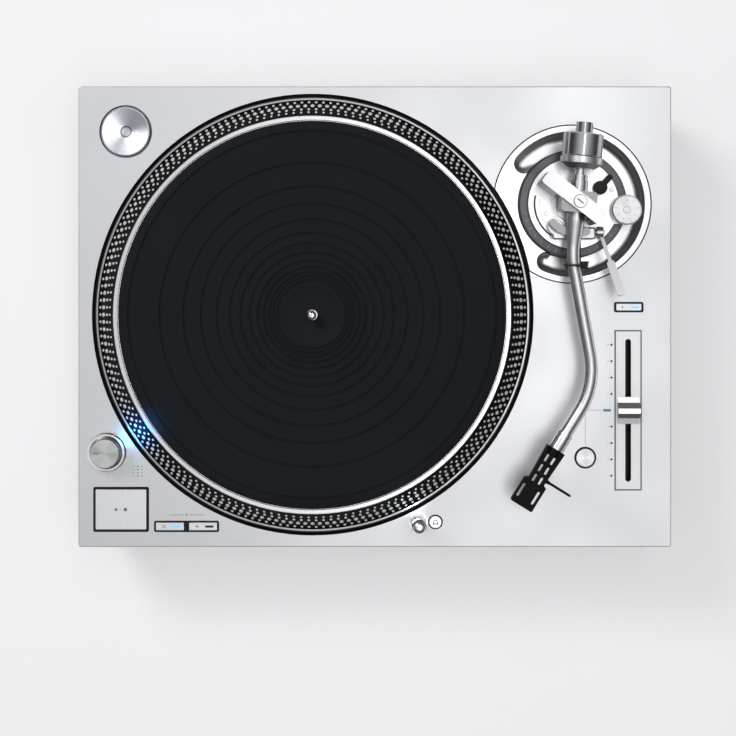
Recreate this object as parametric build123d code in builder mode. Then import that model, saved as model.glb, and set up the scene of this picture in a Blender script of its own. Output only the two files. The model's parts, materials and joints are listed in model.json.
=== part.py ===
from build123d import *
from math import atan2, cos, degrees, radians, sin
import os

os.makedirs("parts", exist_ok=True)

# ---------------------------------------------------------------- driving dimensions
# Millimetres. X runs left to right, Y front to back, Z up. The origin is on the table,
# under the middle of the cabinet.
WIDTH = 453.0
DEPTH = 352.0
CORNER = 2.0
BASE_CORNER = 4.0
WALL = 5.0
FIT = 0.05          # radial clearance of a running fit
GAP = 0.3           # clearance round a moving cap

# levels
FOOT_TOP = 22.0
BASE_BOTTOM = 24.0
BASE_TOP = 54.0
BASE_FLOOR = 6.0
DECK_BOTTOM = 84.0
DECK_TOP = 90.0
PANEL_BOTTOM = 98.0
PANEL_TOP = 106.0
BEZEL_BOTTOM = 93.0
BEZEL_FLOOR = 1.5
BEZEL_PROUD = 0.3

# platter and motor
PLATTER_X = -47.4
PLATTER_Y = 1.6
WELL_R = 168.75
PLATTER_R = 166.0
MAT_R = 147.0
MAT_BOTTOM = 116.5
MAT_TOP = 119.5
RIM_TOP = 118.0
PLATTER_FLOOR = 110.0
SPINDLE_R = 3.6
SPINDLE_TOP = 133.0
SHAFT_R = 5.0
SHAFT_BOTTOM = 56.1
MOTOR_HOLE_R = 62.0

# tonearm
PIVOT_X = 150.7
PIVOT_Y = 86.0
TUBE_Z = 143.0
TUBE_R = 4.75
SLEEVE_R = 6.5
REAR_SHAFT_R = 4.0
BEND_ONE = (146.9, 44.5)
BEND_TWO = (164.1, -50.0)
ARM_END = (141.9, -85.8)
BEND_R = 60.0
COLLAR_LENGTH = 14.0
TRIM_R = 59.9
TRIM_HOLE_R = 41.6
TRIM_GAP = 1.0
TROUGH_MIDDLE = 48.0
TROUGH_HALF = 7.7
TROUGH_ROUND = 7.0
TROUGH_FLOOR = 93.0
TROUGH_START = -113.8
TROUGH_SWEEP = 253.6
RING_R = 41.0
GUIDE_R = 33.0
STEM_R = 28.0
PLATE_R = 34.2
PLATE_BOTTOM = 112.6
PLATE_TOP = 116.0
BRIDGE_TOP = 161.0
BRIDGE_ANGLE = 142.4
BRIDGE_W = 11.5
ANTISKATE = (189.7, 81.0)
LOCK_KNOB = (170.4, 97.8)
REST_Y = 39.0
CLIP_X = 156.4
CLIP_Z = 141.0
LIFT_ROD = (136.8, 68.6)
CUE_Y = 64.0
CUE_Z = 123.5

# controls
STROBE = (-203.8, -102.9)
STROBE_R = 15.0
STROBE_TOP = 115.0
START = (-193.8, -147.2)
SPEEDS = (-143.8, -160.2)
RANGE = (194.0, 7.3)
RESET = (160.8, -107.7)
LAMP = (33.2, -156.4)
LAMP_BUTTON = (46.3, -156.8)
PITCH = (193.5, -71.5)
ADAPTOR = (-190.3, 141.4)

# underneath and behind
FEET = {"front_left": (-178, -130), "front_right": (178, -130),
        "rear_left": (-178, 130), "rear_right": (178, 130)}
BASE_INSET = 2.0
JACK_X = (115.0, 137.0)
GROUND_X = 160.0
TERMINAL_Z = 41.0
RECESS_Y = 156.0
JACK_RECESS = (135.0, 84.0)     # middle in X, length
AC_RECESS = (-150.0, 44.0)
RECESS_H = 18.0


def save(piece, label):
    """Name a finished piece and write it."""
    piece.part.label = label
    export_step(piece.part, f"parts/{label}.step")


def level(z, at=(0.0, 0.0)):
    """A horizontal plane at a height, with its origin over a point."""
    return Plane(origin=(at[0], at[1], z))


def upright(at, height=0.0):
    """A vertical plane through a point, seen from the front, with its Y axis up."""
    return Plane(origin=(at[0], at[1], height), x_dir=(1, 0, 0), z_dir=(0, -1, 0))


def upward(at):
    """A vertical axis through a point."""
    return Axis((at[0], at[1], 0), (0, 0, 1))


PIVOT = (PIVOT_X, PIVOT_Y)
PLATTER = (PLATTER_X, PLATTER_Y)

# ---------------------------------------------------------------- cabinet
BASE_SCREWS = [(x, y) for x in (-206, 206) for y in (-156, 156)] + [(0, -156), (0, 156)]
POST_R = 6.0
SCREW_R = 2.2

with BuildPart() as top_panel:
    with BuildSketch(level(PANEL_BOTTOM)):
        RectangleRounded(WIDTH, DEPTH, CORNER)
    extrude(amount=PANEL_TOP - PANEL_BOTTOM)
    fillet(top_panel.edges().group_by(Axis.Z)[-1], radius=0.8)
    with BuildSketch(level(PANEL_BOTTOM)):
        with Locations(PLATTER):
            Circle(WELL_R)
        with Locations(PIVOT):
            Circle(TRIM_R + TRIM_GAP)
        with Locations(START):
            RectangleRounded(42.6, 34.5, 1.5)
        with Locations(SPEEDS):
            RectangleRounded(49.7, 8.7, 1.5)
        with Locations(RANGE):
            RectangleRounded(22.7, 8.0, 1.5)
        with Locations(RESET):
            Circle(8.4)
        with Locations(LAMP_BUTTON):
            Circle(5.7)
        with Locations(LAMP):
            Circle(7.5)
        with Locations(PITCH):
            Rectangle(16.0, 118.0)
    extrude(amount=PANEL_TOP - PANEL_BOTTOM, mode=Mode.SUBTRACT)
    # shallow seat of the pitch plate, and the round seat of the record adaptor
    with BuildSketch(level(PANEL_TOP - 1.6, PITCH)):
        Rectangle(20.9, 122.7)
    extrude(amount=1.6, mode=Mode.SUBTRACT)
    with BuildSketch(level(PANEL_BOTTOM + 1.0, ADAPTOR)):
        Circle(20.2)
    extrude(amount=PANEL_TOP - PANEL_BOTTOM, mode=Mode.SUBTRACT)
save(top_panel, "top_panel")

with BuildPart() as cabinet:
    with BuildSketch(level(BASE_TOP)):
        RectangleRounded(WIDTH, DEPTH, CORNER)
    extrude(amount=PANEL_BOTTOM - BASE_TOP)
    for bottom, top in ((BASE_TOP, DECK_BOTTOM), (DECK_TOP, PANEL_BOTTOM)):
        with BuildSketch(level(bottom)):
            Rectangle(WIDTH - 2 * WALL, DEPTH - 2 * WALL)
        extrude(amount=top - bottom, mode=Mode.SUBTRACT)
    with BuildSketch(level(BASE_TOP)):
        with Locations(*BASE_SCREWS):
            Circle(POST_R)
    extrude(amount=DECK_BOTTOM - BASE_TOP)
    with BuildSketch(level(BASE_TOP)):
        with Locations(*BASE_SCREWS):
            Circle(SCREW_R + FIT)
    extrude(amount=14.0, mode=Mode.SUBTRACT)
    with BuildSketch(level(DECK_BOTTOM)):
        with Locations(PLATTER):
            Circle(MOTOR_HOLE_R)
        with Locations(PIVOT):
            Circle(GUIDE_R + 0.5)
        with Locations(LAMP):
            Circle(7.5)
    extrude(amount=DECK_TOP - DECK_BOTTOM, mode=Mode.SUBTRACT)
save(cabinet, "cabinet")

BASE_W = WIDTH - 2 * BASE_INSET
BASE_D = DEPTH - 2 * BASE_INSET
BASE_WALL = 6.0
STEM_BORE = 4.1

with BuildPart() as base_shell:
    with BuildSketch(level(BASE_BOTTOM)):
        RectangleRounded(BASE_W, BASE_D, BASE_CORNER)
    extrude(amount=BASE_TOP - BASE_BOTTOM)
    chamfer(base_shell.edges().group_by(Axis.Z)[0], length=3.0)
    with BuildSketch(level(BASE_BOTTOM + BASE_FLOOR)):
        Rectangle(BASE_W - 2 * BASE_WALL, BASE_D - 2 * BASE_WALL)
    extrude(amount=BASE_TOP - BASE_BOTTOM, mode=Mode.SUBTRACT)
    # bosses for the screws and for the threads of the feet
    with BuildSketch(level(BASE_BOTTOM + BASE_FLOOR)):
        with Locations(*BASE_SCREWS):
            Circle(POST_R + 1)
    extrude(amount=BASE_TOP - BASE_BOTTOM - BASE_FLOOR)
    with BuildSketch(level(BASE_BOTTOM + BASE_FLOOR)):
        with Locations(*FEET.values()):
            Circle(10.0)
    extrude(amount=16.0)
    # thicker rear wall behind the sunk connectors
    for middle, length in (JACK_RECESS, AC_RECESS):
        with BuildSketch(level(BASE_BOTTOM)):
            with Locations((middle, (RECESS_Y - 6 + DEPTH / 2 - BASE_INSET) / 2)):
                Rectangle(length + 12, DEPTH / 2 - BASE_INSET - RECESS_Y + 6)
        extrude(amount=BASE_TOP - BASE_BOTTOM)
    for middle, length in (JACK_RECESS, AC_RECESS):
        with BuildSketch(upright((middle, DEPTH / 2), TERMINAL_Z)):
            Rectangle(length, RECESS_H)
        extrude(amount=DEPTH / 2 - RECESS_Y, mode=Mode.SUBTRACT)
    with BuildSketch(level(BASE_BOTTOM)):
        with Locations(*BASE_SCREWS):
            Circle(SCREW_R + 0.2)
        with Locations(*FEET.values()):
            Circle(STEM_BORE)
    extrude(amount=BASE_TOP, mode=Mode.SUBTRACT)
    with BuildSketch(level(BASE_BOTTOM)):
        with Locations(*BASE_SCREWS):
            Circle(4.4)
    extrude(amount=4.5, mode=Mode.SUBTRACT)
save(base_shell, "base_shell")

with BuildPart() as base_screws:
    with BuildSketch(level(BASE_BOTTOM + 1.0)):
        with Locations(*BASE_SCREWS):
            Circle(4.1)
            RegularPolygon(1.7, 6, mode=Mode.SUBTRACT)
    extrude(amount=3.5)
    with BuildSketch(level(BASE_BOTTOM + 3.5)):
        with Locations(*BASE_SCREWS):
            Circle(SCREW_R)
    extrude(amount=38.0)
save(base_screws, "base_screws")

# ---------------------------------------------------------------- feet
PAD_TOP = 6.0
for place, spot in FEET.items():
    with BuildPart() as foot:
        with BuildSketch(level(PAD_TOP, spot)):
            Circle(30.0)
        with BuildSketch(level(FOOT_TOP - 2.0, spot)):
            Circle(27.5)
        loft()
        with BuildSketch(level(FOOT_TOP - 2.0, spot)):
            Circle(25.0)
        extrude(amount=2.0)
        with BuildSketch(level(FOOT_TOP, spot)):
            Circle(STEM_BORE - 2 * FIT)
        extrude(amount=20.0)
    save(foot, f"foot_{place}")

    with BuildPart() as pad:
        with BuildSketch(level(0.0, spot)):
            Circle(26.0)
            Circle(13.0, mode=Mode.SUBTRACT)
        extrude(amount=3.0)
        with BuildSketch(level(3.0, spot)):
            Circle(28.0)
        extrude(amount=PAD_TOP - 3.0)
    save(pad, f"foot_pad_{place}")

# ---------------------------------------------------------------- motor and platter
COIL_COUNT = 9
COIL_RADIUS = 45.0

with BuildPart() as bearing_housing:
    with BuildSketch(level(80.0, PLATTER)):
        Circle(70.0)
    extrude(amount=4.0)
    with BuildSketch(level(DECK_BOTTOM, PLATTER)):
        Circle(MOTOR_HOLE_R - 0.5)
    extrude(amount=4.0)
    with BuildSketch(level(52.0, PLATTER)):
        Circle(12.0)
    extrude(amount=45.0)
    with BuildSketch(level(SHAFT_BOTTOM - 0.1, PLATTER)):
        Circle(SHAFT_R + FIT)
    extrude(amount=60.0, mode=Mode.SUBTRACT)
save(bearing_housing, "bearing_housing")

with BuildPart() as stator_coils:
    with BuildSketch(level(89.6, PLATTER)):
        with PolarLocations(COIL_RADIUS, COIL_COUNT):
            Ellipse(11.0, 13.0)
            Ellipse(4.0, 6.0, mode=Mode.SUBTRACT)
    extrude(amount=5.4)
save(stator_coils, "stator_coils")

BOARD = (60.0, -85.0)
with BuildPart() as circuit_boards:
    # ring board under the motor coils
    with BuildSketch(level(88.0, PLATTER)):
        Circle(61.0)
        Circle(12.4, mode=Mode.SUBTRACT)
    extrude(amount=1.6)
    # control board on four pillars, with its heat sink and larger parts
    with BuildSketch(level(BASE_BOTTOM + BASE_FLOOR, BOARD)):
        with GridLocations(160, 80, 2, 2):
            Circle(4.0)
    extrude(amount=6.0)
    with BuildSketch(level(BASE_BOTTOM + BASE_FLOOR + 6.0, BOARD)):
        Rectangle(180, 95)
    extrude(amount=1.6)
    with BuildSketch(level(BASE_BOTTOM + BASE_FLOOR + 7.6, BOARD)):
        with Locations((-60, 10)):
            Rectangle(30, 30)
        with GridLocations(16, 22, 4, 2):
            Circle(5.0)
    extrude(amount=12.0)
save(circuit_boards, "circuit_boards")

with BuildPart() as power_supply:
    with BuildSketch(level(BASE_BOTTOM + BASE_FLOOR, (125, 55))):
        Rectangle(110, 80)
    extrude(amount=3.0)
    with BuildSketch(level(BASE_BOTTOM + BASE_FLOOR + 3.0, (125, 55))):
        RectangleRounded(90, 60, 4)
    extrude(amount=36.0)
save(power_supply, "power_supply")

with BuildPart() as platter:
    with BuildSketch(upright(PLATTER)):
        with BuildLine():
            Polyline(
                (10.0, PLATTER_FLOOR), (134.0, PLATTER_FLOOR), (138.0, 97.0), (165.2, 97.0),
                (PLATTER_R, 98.0), (PLATTER_R, 106.2), (165.2, 107.0), (164.0, 107.0),
                (163.4, 106.2), (150.9, 117.4), (150.4, RIM_TOP), (147.9, RIM_TOP),
                (147.5, 117.6), (147.5, MAT_BOTTOM), (10.0, MAT_BOTTOM), close=True)
        make_face()
    revolve(axis=upward(PLATTER))
    # screw seats round the hub, and two lifting holes
    with BuildSketch(level(PLATTER_FLOOR, PLATTER)):
        with PolarLocations(17.0, 3):
            Circle(2.0)
        with PolarLocations(62.0, 2):
            Circle(12.0)
    extrude(amount=20.0, mode=Mode.SUBTRACT)
    with BuildSketch(level(MAT_BOTTOM - 3.0, PLATTER)):
        with PolarLocations(17.0, 3):
            Circle(4.0)
    extrude(amount=5.0, mode=Mode.SUBTRACT)
save(platter, "platter")

with BuildPart() as platter_mat:
    with BuildSketch(level(MAT_BOTTOM, PLATTER)):
        Circle(MAT_R)
        Circle(4.0, mode=Mode.SUBTRACT)
    extrude(amount=MAT_TOP - MAT_BOTTOM)
    fillet(platter_mat.edges().group_by(Axis.Z)[-1].sort_by(SortBy.LENGTH)[-1], radius=1.0)
save(platter_mat, "platter_mat")

with BuildPart() as spindle:
    with BuildSketch(level(SHAFT_BOTTOM, PLATTER)):
        Circle(SHAFT_R)
    extrude(amount=PLATTER_FLOOR - SHAFT_BOTTOM)
    with BuildSketch(level(PLATTER_FLOOR - 6.0, PLATTER)):
        Circle(24.0)
    extrude(amount=6.0)
    with BuildSketch(level(PLATTER_FLOOR, PLATTER)):
        Circle(9.9)
    extrude(amount=MAT_BOTTOM - PLATTER_FLOOR - 0.2)
    with BuildSketch(level(PLATTER_FLOOR, PLATTER)):
        Circle(SPINDLE_R + 0.3)
    extrude(amount=MAT_TOP - 0.1 - PLATTER_FLOOR)
    with BuildSketch(level(PLATTER_FLOOR, PLATTER)):
        Circle(SPINDLE_R)
    extrude(amount=SPINDLE_TOP - PLATTER_FLOOR)
    fillet(spindle.edges().group_by(Axis.Z)[-1], radius=2.6)
    with BuildSketch(level(PLATTER_FLOOR - 6.0, PLATTER)):
        with PolarLocations(17.0, 3):
            Circle(1.6)
    extrude(amount=6.0, mode=Mode.SUBTRACT)
save(spindle, "spindle")

with BuildPart() as hub_screws:
    with BuildSketch(level(MAT_BOTTOM - 3.0, PLATTER)):
        with PolarLocations(17.0, 3):
            Circle(3.6)
    extrude(amount=2.6)
    with BuildSketch(level(PLATTER_FLOOR - 5.5, PLATTER)):
        with PolarLocations(17.0, 3):
            Circle(1.55)
    extrude(amount=10.0)
save(hub_screws, "hub_screws")

with BuildPart() as rotor_magnet:
    with BuildSketch(level(98.0, PLATTER)):
        Circle(58.0)
        Circle(30.0, mode=Mode.SUBTRACT)
    extrude(amount=PLATTER_FLOOR - 98.0)
save(rotor_magnet, "rotor_magnet")

# ---------------------------------------------------------------- buttons and their bezels
CAP_BOTTOM = 99.0
START_SIZE = (39.0, 30.8)
SPEED_SIZE = (21.7, 6.1)
SPEED_STEP = 12.65
RANGE_SIZE = (19.5, 5.5)
RESET_R = 7.15
LAMP_BUTTON_R = 4.85
SPEED_33 = (SPEEDS[0] - SPEED_STEP, SPEEDS[1])
SPEED_45 = (SPEEDS[0] + SPEED_STEP, SPEEDS[1])

# frame size of each bezel, and the caps that move in it
SQUARE_BEZELS = (
    (START, (42.6, 34.5), (START,), START_SIZE),
    (SPEEDS, (49.7, 8.7), (SPEED_33, SPEED_45), SPEED_SIZE),
    (RANGE, (22.7, 8.0), (RANGE,), RANGE_SIZE),
)
ROUND_BEZELS = ((RESET, 8.4, RESET_R), (LAMP_BUTTON, 5.7, LAMP_BUTTON_R))
BEZEL_H = PANEL_TOP + BEZEL_PROUD - BEZEL_BOTTOM

with BuildPart() as button_bezels:
    for middle, frame, caps, cap in SQUARE_BEZELS:
        with BuildSketch(level(BEZEL_BOTTOM, middle)):
            RectangleRounded(frame[0] - 0.1, frame[1] - 0.1, 1.4)
        extrude(amount=BEZEL_H)
    for middle, outer, cap in ROUND_BEZELS:
        with BuildSketch(level(BEZEL_BOTTOM, middle)):
            Circle(outer - 0.05)
        extrude(amount=BEZEL_H)
    for middle, frame, caps, cap in SQUARE_BEZELS:
        with BuildSketch(level(BEZEL_BOTTOM + BEZEL_FLOOR)):
            with Locations(*caps):
                Rectangle(cap[0] + 2 * GAP, cap[1] + 2 * GAP)
        extrude(amount=BEZEL_H, mode=Mode.SUBTRACT)
    for middle, outer, cap in ROUND_BEZELS:
        with BuildSketch(level(BEZEL_BOTTOM + BEZEL_FLOOR, middle)):
            Circle(cap + GAP)
        extrude(amount=BEZEL_H, mode=Mode.SUBTRACT)
save(button_bezels, "button_bezels")

SQUARE_CAPS = (
    ("start_button", START, START_SIZE, PANEL_TOP + 1.2),
    ("speed_button_33", SPEED_33, SPEED_SIZE, PANEL_TOP + 0.9),
    ("speed_button_45", SPEED_45, SPEED_SIZE, PANEL_TOP + 0.9),
    ("range_button", RANGE, RANGE_SIZE, PANEL_TOP + 0.9),
)
for label, middle, size, top in SQUARE_CAPS:
    with BuildPart() as cap_piece:
        with BuildSketch(level(CAP_BOTTOM, middle)):
            RectangleRounded(size[0], size[1], 0.8)
        extrude(amount=top - CAP_BOTTOM)
        fillet(cap_piece.edges().group_by(Axis.Z)[-1], radius=0.4)
    save(cap_piece, label)

for label, middle, radius in (("reset_button", RESET, RESET_R),
                              ("lamp_button", LAMP_BUTTON, LAMP_BUTTON_R)):
    with BuildPart() as cap_piece:
        with BuildSketch(level(CAP_BOTTOM, middle)):
            Circle(radius)
        extrude(amount=PANEL_TOP + 1.0 - CAP_BOTTOM)
        chamfer(cap_piece.edges().group_by(Axis.Z)[-1], length=0.4)
    save(cap_piece, label)

# ---------------------------------------------------------------- strobe light and power knob
TO_PLATTER = degrees(atan2(PLATTER_Y - STROBE[1], PLATTER_X - STROBE[0]))
STROBE_PLANE = Plane(origin=(STROBE[0], STROBE[1], PANEL_TOP),
                     x_dir=(cos(radians(TO_PLATTER)), sin(radians(TO_PLATTER)), 0),
                     z_dir=(0, 0, 1))
WINDOW = (3.0, 11.0, 4.6)       # depth, width, height

with BuildPart() as strobe_housing:
    with BuildSketch(level(PANEL_TOP, STROBE)):
        Circle(STROBE_R)
    extrude(amount=STROBE_TOP - PANEL_TOP)
    chamfer(strobe_housing.edges().group_by(Axis.Z)[-1], length=1.2)
    with BuildSketch(STROBE_PLANE.offset(1.6)):
        with Locations((STROBE_R - WINDOW[0] / 2, 0)):
            Rectangle(WINDOW[0] + 1.0, WINDOW[1])
    extrude(amount=WINDOW[2], mode=Mode.SUBTRACT)
    with BuildSketch(level(STROBE_TOP, STROBE)):
        Circle(3.0)
    extrude(amount=5.0)
save(strobe_housing, "strobe_housing")

with BuildPart() as strobe_window:
    with BuildSketch(STROBE_PLANE.offset(1.6)):
        Circle(STROBE_R - 0.4)
        with Locations((STROBE_R - WINDOW[0] / 2 + 0.25, 0)):
            Rectangle(WINDOW[0] + 0.5, WINDOW[1], mode=Mode.INTERSECT)
    extrude(amount=WINDOW[2])
save(strobe_window, "strobe_window")

KNOB_R = 11.25
with BuildPart() as power_knob:
    with BuildSketch(upright(STROBE)):
        with BuildLine():
            Polyline((3.0 + FIT, STROBE_TOP + GAP), (12.6, STROBE_TOP + GAP),
                     (12.6, 116.6), (10.2, 117.8), (10.0, 121.0))
            Line((10.0, 121.0), (KNOB_R, 121.6))
            Line((KNOB_R, 121.6), (KNOB_R, 122.6))
            Polyline((KNOB_R, 122.6), (10.6, 123.2), (0.0, 123.2), (0.0, 120.6),
                     (3.0 + FIT, 120.6), (3.0 + FIT, STROBE_TOP + GAP))
        make_face()
    revolve(axis=upward(STROBE))
save(power_knob, "power_knob")

# ---------------------------------------------------------------- stylus lamp
LAMP_R = 5.75
LAMP_TOP = 142.0
TOWARD_PLATTER = degrees(atan2(PLATTER_Y - LAMP[1], PLATTER_X - LAMP[0]))
LAMP_PLANE = Plane(origin=(LAMP[0], LAMP[1], 0),
                   x_dir=(cos(radians(TOWARD_PLATTER)), sin(radians(TOWARD_PLATTER)), 0),
                   z_dir=(0, 0, 1))
LENS_BOTTOM = 132.0
LENS = (3.0, 6.0, 4.0)

with BuildPart() as lamp_sleeve:
    with BuildSketch(level(60.0, LAMP)):
        Circle(7.4)
        Circle(LAMP_R + 2 * FIT, mode=Mode.SUBTRACT)
    extrude(amount=PANEL_TOP + BEZEL_PROUD - 60.0)
save(lamp_sleeve, "lamp_sleeve")

with BuildPart() as stylus_lamp:
    with BuildSketch(level(PANEL_BOTTOM, LAMP)):
        Circle(LAMP_R)
    extrude(amount=LAMP_TOP - PANEL_BOTTOM)
    fillet(stylus_lamp.edges().group_by(Axis.Z)[-1], radius=4.6)
    with BuildSketch(LAMP_PLANE.offset(LENS_BOTTOM)):
        with Locations((LAMP_R - LENS[0] / 2 + 0.5, 0)):
            Rectangle(LENS[0] + 1.0, LENS[1])
    extrude(amount=LENS[2], mode=Mode.SUBTRACT)
save(stylus_lamp, "stylus_lamp")

with BuildPart() as lamp_lens:
    with BuildSketch(LAMP_PLANE.offset(LENS_BOTTOM)):
        Circle(LAMP_R - 0.4)
        with Locations((LAMP_R - LENS[0] / 2 + 0.5, 0)):
            Rectangle(LENS[0] + 1.0, LENS[1], mode=Mode.INTERSECT)
    extrude(amount=LENS[2])
save(lamp_lens, "lamp_lens")

# ---------------------------------------------------------------- pitch slider
PITCH_SLOT = (4.4, 109.0)
PLATE_THICK = 1.9
FADER_TOP = PANEL_TOP - 1.6

with BuildPart() as pitch_plate:
    with BuildSketch(level(FADER_TOP, PITCH)):
        Rectangle(20.7, 122.5)
        SlotOverall(PITCH_SLOT[1], PITCH_SLOT[0], rotation=90, mode=Mode.SUBTRACT)
    extrude(amount=PLATE_THICK)
save(pitch_plate, "pitch_plate")

with BuildPart() as pitch_fader:
    with BuildSketch(level(DECK_TOP, PITCH)):
        Rectangle(15.0, 116.0)
    extrude(amount=FADER_TOP - DECK_TOP)
    with BuildSketch(level(93.0, PITCH)):
        Rectangle(5.4, 110.0)
    extrude(amount=20.0, mode=Mode.SUBTRACT)
save(pitch_fader, "pitch_fader")

SLIDER_BOTTOM = PANEL_TOP + 0.8
with BuildPart() as pitch_slider:
    with BuildSketch(Plane(origin=(PITCH[0], PITCH[1], SLIDER_BOTTOM), x_dir=(0, 1, 0),
                           z_dir=(1, 0, 0))):
        with BuildLine():
            Polyline((-10.2, 0), (-10.2, 1.2), (-6.0, 2.0), (-5.4, 5.0), (-2.2, 6.6),
                     (-1.9, 8.0), (1.9, 8.0), (2.2, 6.6), (5.4, 5.0), (6.0, 2.0),
                     (10.2, 1.2), (10.2, 0), close=True)
        make_face()
    extrude(amount=8.4, both=True)
    with BuildSketch(level(95.0, PITCH)):
        Rectangle(3.4, 6.0)
    extrude(amount=SLIDER_BOTTOM - 95.0)
save(pitch_slider, "pitch_slider")

# ---------------------------------------------------------------- large-hole record adaptor
with BuildPart() as ep_adaptor:
    with BuildSketch(upright(ADAPTOR)):
        with BuildLine():
            Polyline((3.65, 99.3), (18.75, 99.3), (19.25, 99.8), (19.25, 106.6),
                     (18.4, 107.4), (17.6, 107.4), (4.4, 104.8), (3.65, 104.2),
                     close=True)
        make_face()
    revolve(axis=upward(ADAPTOR))
save(ep_adaptor, "ep_adaptor")

# ---------------------------------------------------------------- rear connectors
PANEL_PLATE = 2.0


def rear(x, z=TERMINAL_Z, out=0.0):
    """A plane on the sunk rear wall, looking backwards, over a point."""
    return Plane(origin=(x, RECESS_Y + out, z), x_dir=(-1, 0, 0), z_dir=(0, 1, 0))


with BuildPart() as rear_terminals:
    with BuildSketch(rear(JACK_RECESS[0])):
        Rectangle(JACK_RECESS[1] - 1.0, RECESS_H - 1.0)
    extrude(amount=PANEL_PLATE)
    for x in JACK_X:
        with BuildSketch(rear(x, out=PANEL_PLATE)):
            Circle(6.2)
        extrude(amount=1.5)
        with BuildSketch(rear(x, out=PANEL_PLATE)):
            Circle(4.15)
            Circle(1.6, mode=Mode.SUBTRACT)
        extrude(amount=10.0)
    with BuildSketch(rear(GROUND_X, out=PANEL_PLATE)):
        Circle(2.0)
    extrude(amount=12.0)
save(rear_terminals, "rear_terminals")

with BuildPart() as ground_nut:
    with BuildSketch(rear(GROUND_X, out=PANEL_PLATE + 4.0)):
        Circle(5.6)
        with PolarLocations(5.9, 16):
            Circle(0.7, mode=Mode.SUBTRACT)
        Circle(2.0 + FIT, mode=Mode.SUBTRACT)
    extrude(amount=5.0)
save(ground_nut, "ground_nut")

with BuildPart() as ac_inlet:
    with BuildSketch(rear(AC_RECESS[0])):
        Rectangle(AC_RECESS[1] - 1.0, RECESS_H - 1.0)
    extrude(amount=PANEL_PLATE)
    with BuildSketch(rear(AC_RECESS[0], out=PANEL_PLATE)):
        RectangleRounded(28.0, 16.0, 2.0)
        RectangleRounded(24.0, 12.0, 1.5, mode=Mode.SUBTRACT)
    extrude(amount=13.0)
    with BuildSketch(rear(AC_RECESS[0], out=PANEL_PLATE)):
        with Locations((-7, 1), (0, -2), (7, 1)):
            Rectangle(1.6, 4.0)
    extrude(amount=10.0)
save(ac_inlet, "ac_inlet")

# ---------------------------------------------------------------- tonearm base
TROUGH_LINE = CenterArc((0, 0), TROUGH_MIDDLE, TROUGH_START, TROUGH_SWEEP)
with BuildPart() as arm_base_trim:
    with BuildSketch(level(DECK_TOP, PIVOT)):
        Circle(TRIM_R)
        Circle(TRIM_HOLE_R, mode=Mode.SUBTRACT)
    extrude(amount=PANEL_TOP - DECK_TOP)
    with BuildSketch(level(DECK_TOP, PLATTER)):
        Circle(WELL_R + 0.5)
    extrude(amount=PANEL_TOP, mode=Mode.SUBTRACT)
    # trough beside the ring, from the left rear clockwise to the left front, rounded up to its
    # outer wall and ends
    with BuildSketch(level(TROUGH_FLOOR, PIVOT)):
        SlotArc(TROUGH_LINE, 2 * TROUGH_HALF)
    extrude(amount=PANEL_TOP - TROUGH_FLOOR, mode=Mode.SUBTRACT)
    floor = arm_base_trim.faces().filter_by(Axis.Z).group_by(Axis.Z)[1]
    walls = floor.edges().filter_by(lambda edge: abs(edge.radius - TRIM_HOLE_R) > FIT)
    fillet(walls, radius=TROUGH_ROUND)
save(arm_base_trim, "arm_base_trim")

with BuildPart() as arm_base_guide:
    for bottom, top, radius in ((80.0, DECK_BOTTOM, 45.0), (DECK_BOTTOM, DECK_TOP, GUIDE_R + 0.4),
                                (DECK_TOP, 103.6, 39.0), (103.6, 112.0, GUIDE_R)):
        with BuildSketch(level(bottom, PIVOT)):
            Circle(radius)
        extrude(amount=top - bottom)
    with BuildSketch(level(80.0, PIVOT)):
        Circle(STEM_R + FIT)
    extrude(amount=40.0, mode=Mode.SUBTRACT)
save(arm_base_guide, "arm_base_guide")

with BuildPart() as height_ring:
    with BuildSketch(level(104.0, PIVOT)):
        Circle(RING_R)
        Circle(GUIDE_R + FIT, mode=Mode.SUBTRACT)
    extrude(amount=8.0)
    chamfer(height_ring.edges().group_by(Axis.Z)[-1].sort_by(SortBy.LENGTH)[-1], length=0.8)
save(height_ring, "height_ring")

POST_TOP = 127.0
PLATE_SLOT = CenterArc((0, 0), 31.0, 166, 67)
with BuildPart() as arm_base_plate:
    with BuildSketch(level(92.0, PIVOT)):
        Circle(STEM_R)
        Circle(21.0, mode=Mode.SUBTRACT)
    extrude(amount=PLATE_BOTTOM - 92.0)
    with BuildSketch(level(PLATE_BOTTOM)):
        with Locations(PIVOT):
            Circle(PLATE_R)
        with Locations(((PIVOT_X + ANTISKATE[0]) / 2, ANTISKATE[1])):
            Rectangle(ANTISKATE[0] - PIVOT_X, 20.5)
        with Locations(ANTISKATE):
            Circle(10.25)
    extrude(amount=PLATE_TOP - PLATE_BOTTOM)
    # curved slot on the left of the plate
    with BuildSketch(level(PLATE_TOP - 1.6, PIVOT)):
        SlotArc(PLATE_SLOT, 2.0)
    extrude(amount=1.6, mode=Mode.SUBTRACT)
    # round gimbal foot, its post and the lower pivot pin
    for bottom, top, radius in ((PLATE_TOP, 121.0, 14.6), (121.0, POST_TOP, 7.0),
                                (POST_TOP, 133.4, 2.0)):
        with BuildSketch(level(bottom, PIVOT)):
            Circle(radius)
        extrude(amount=top - bottom)
    # shafts of the two knobs, and a screw head
    with BuildSketch(level(PLATE_TOP)):
        with Locations(ANTISKATE, LOCK_KNOB):
            Circle(2.0)
    extrude(amount=5.0)
    with BuildSketch(level(PLATE_TOP, (PIVOT_X - 25.0, PIVOT_Y - 5.0))):
        Circle(2.8)
        Rectangle(6.0, 0.7, mode=Mode.SUBTRACT)
    extrude(amount=1.2)
save(arm_base_plate, "arm_base_plate")

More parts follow.
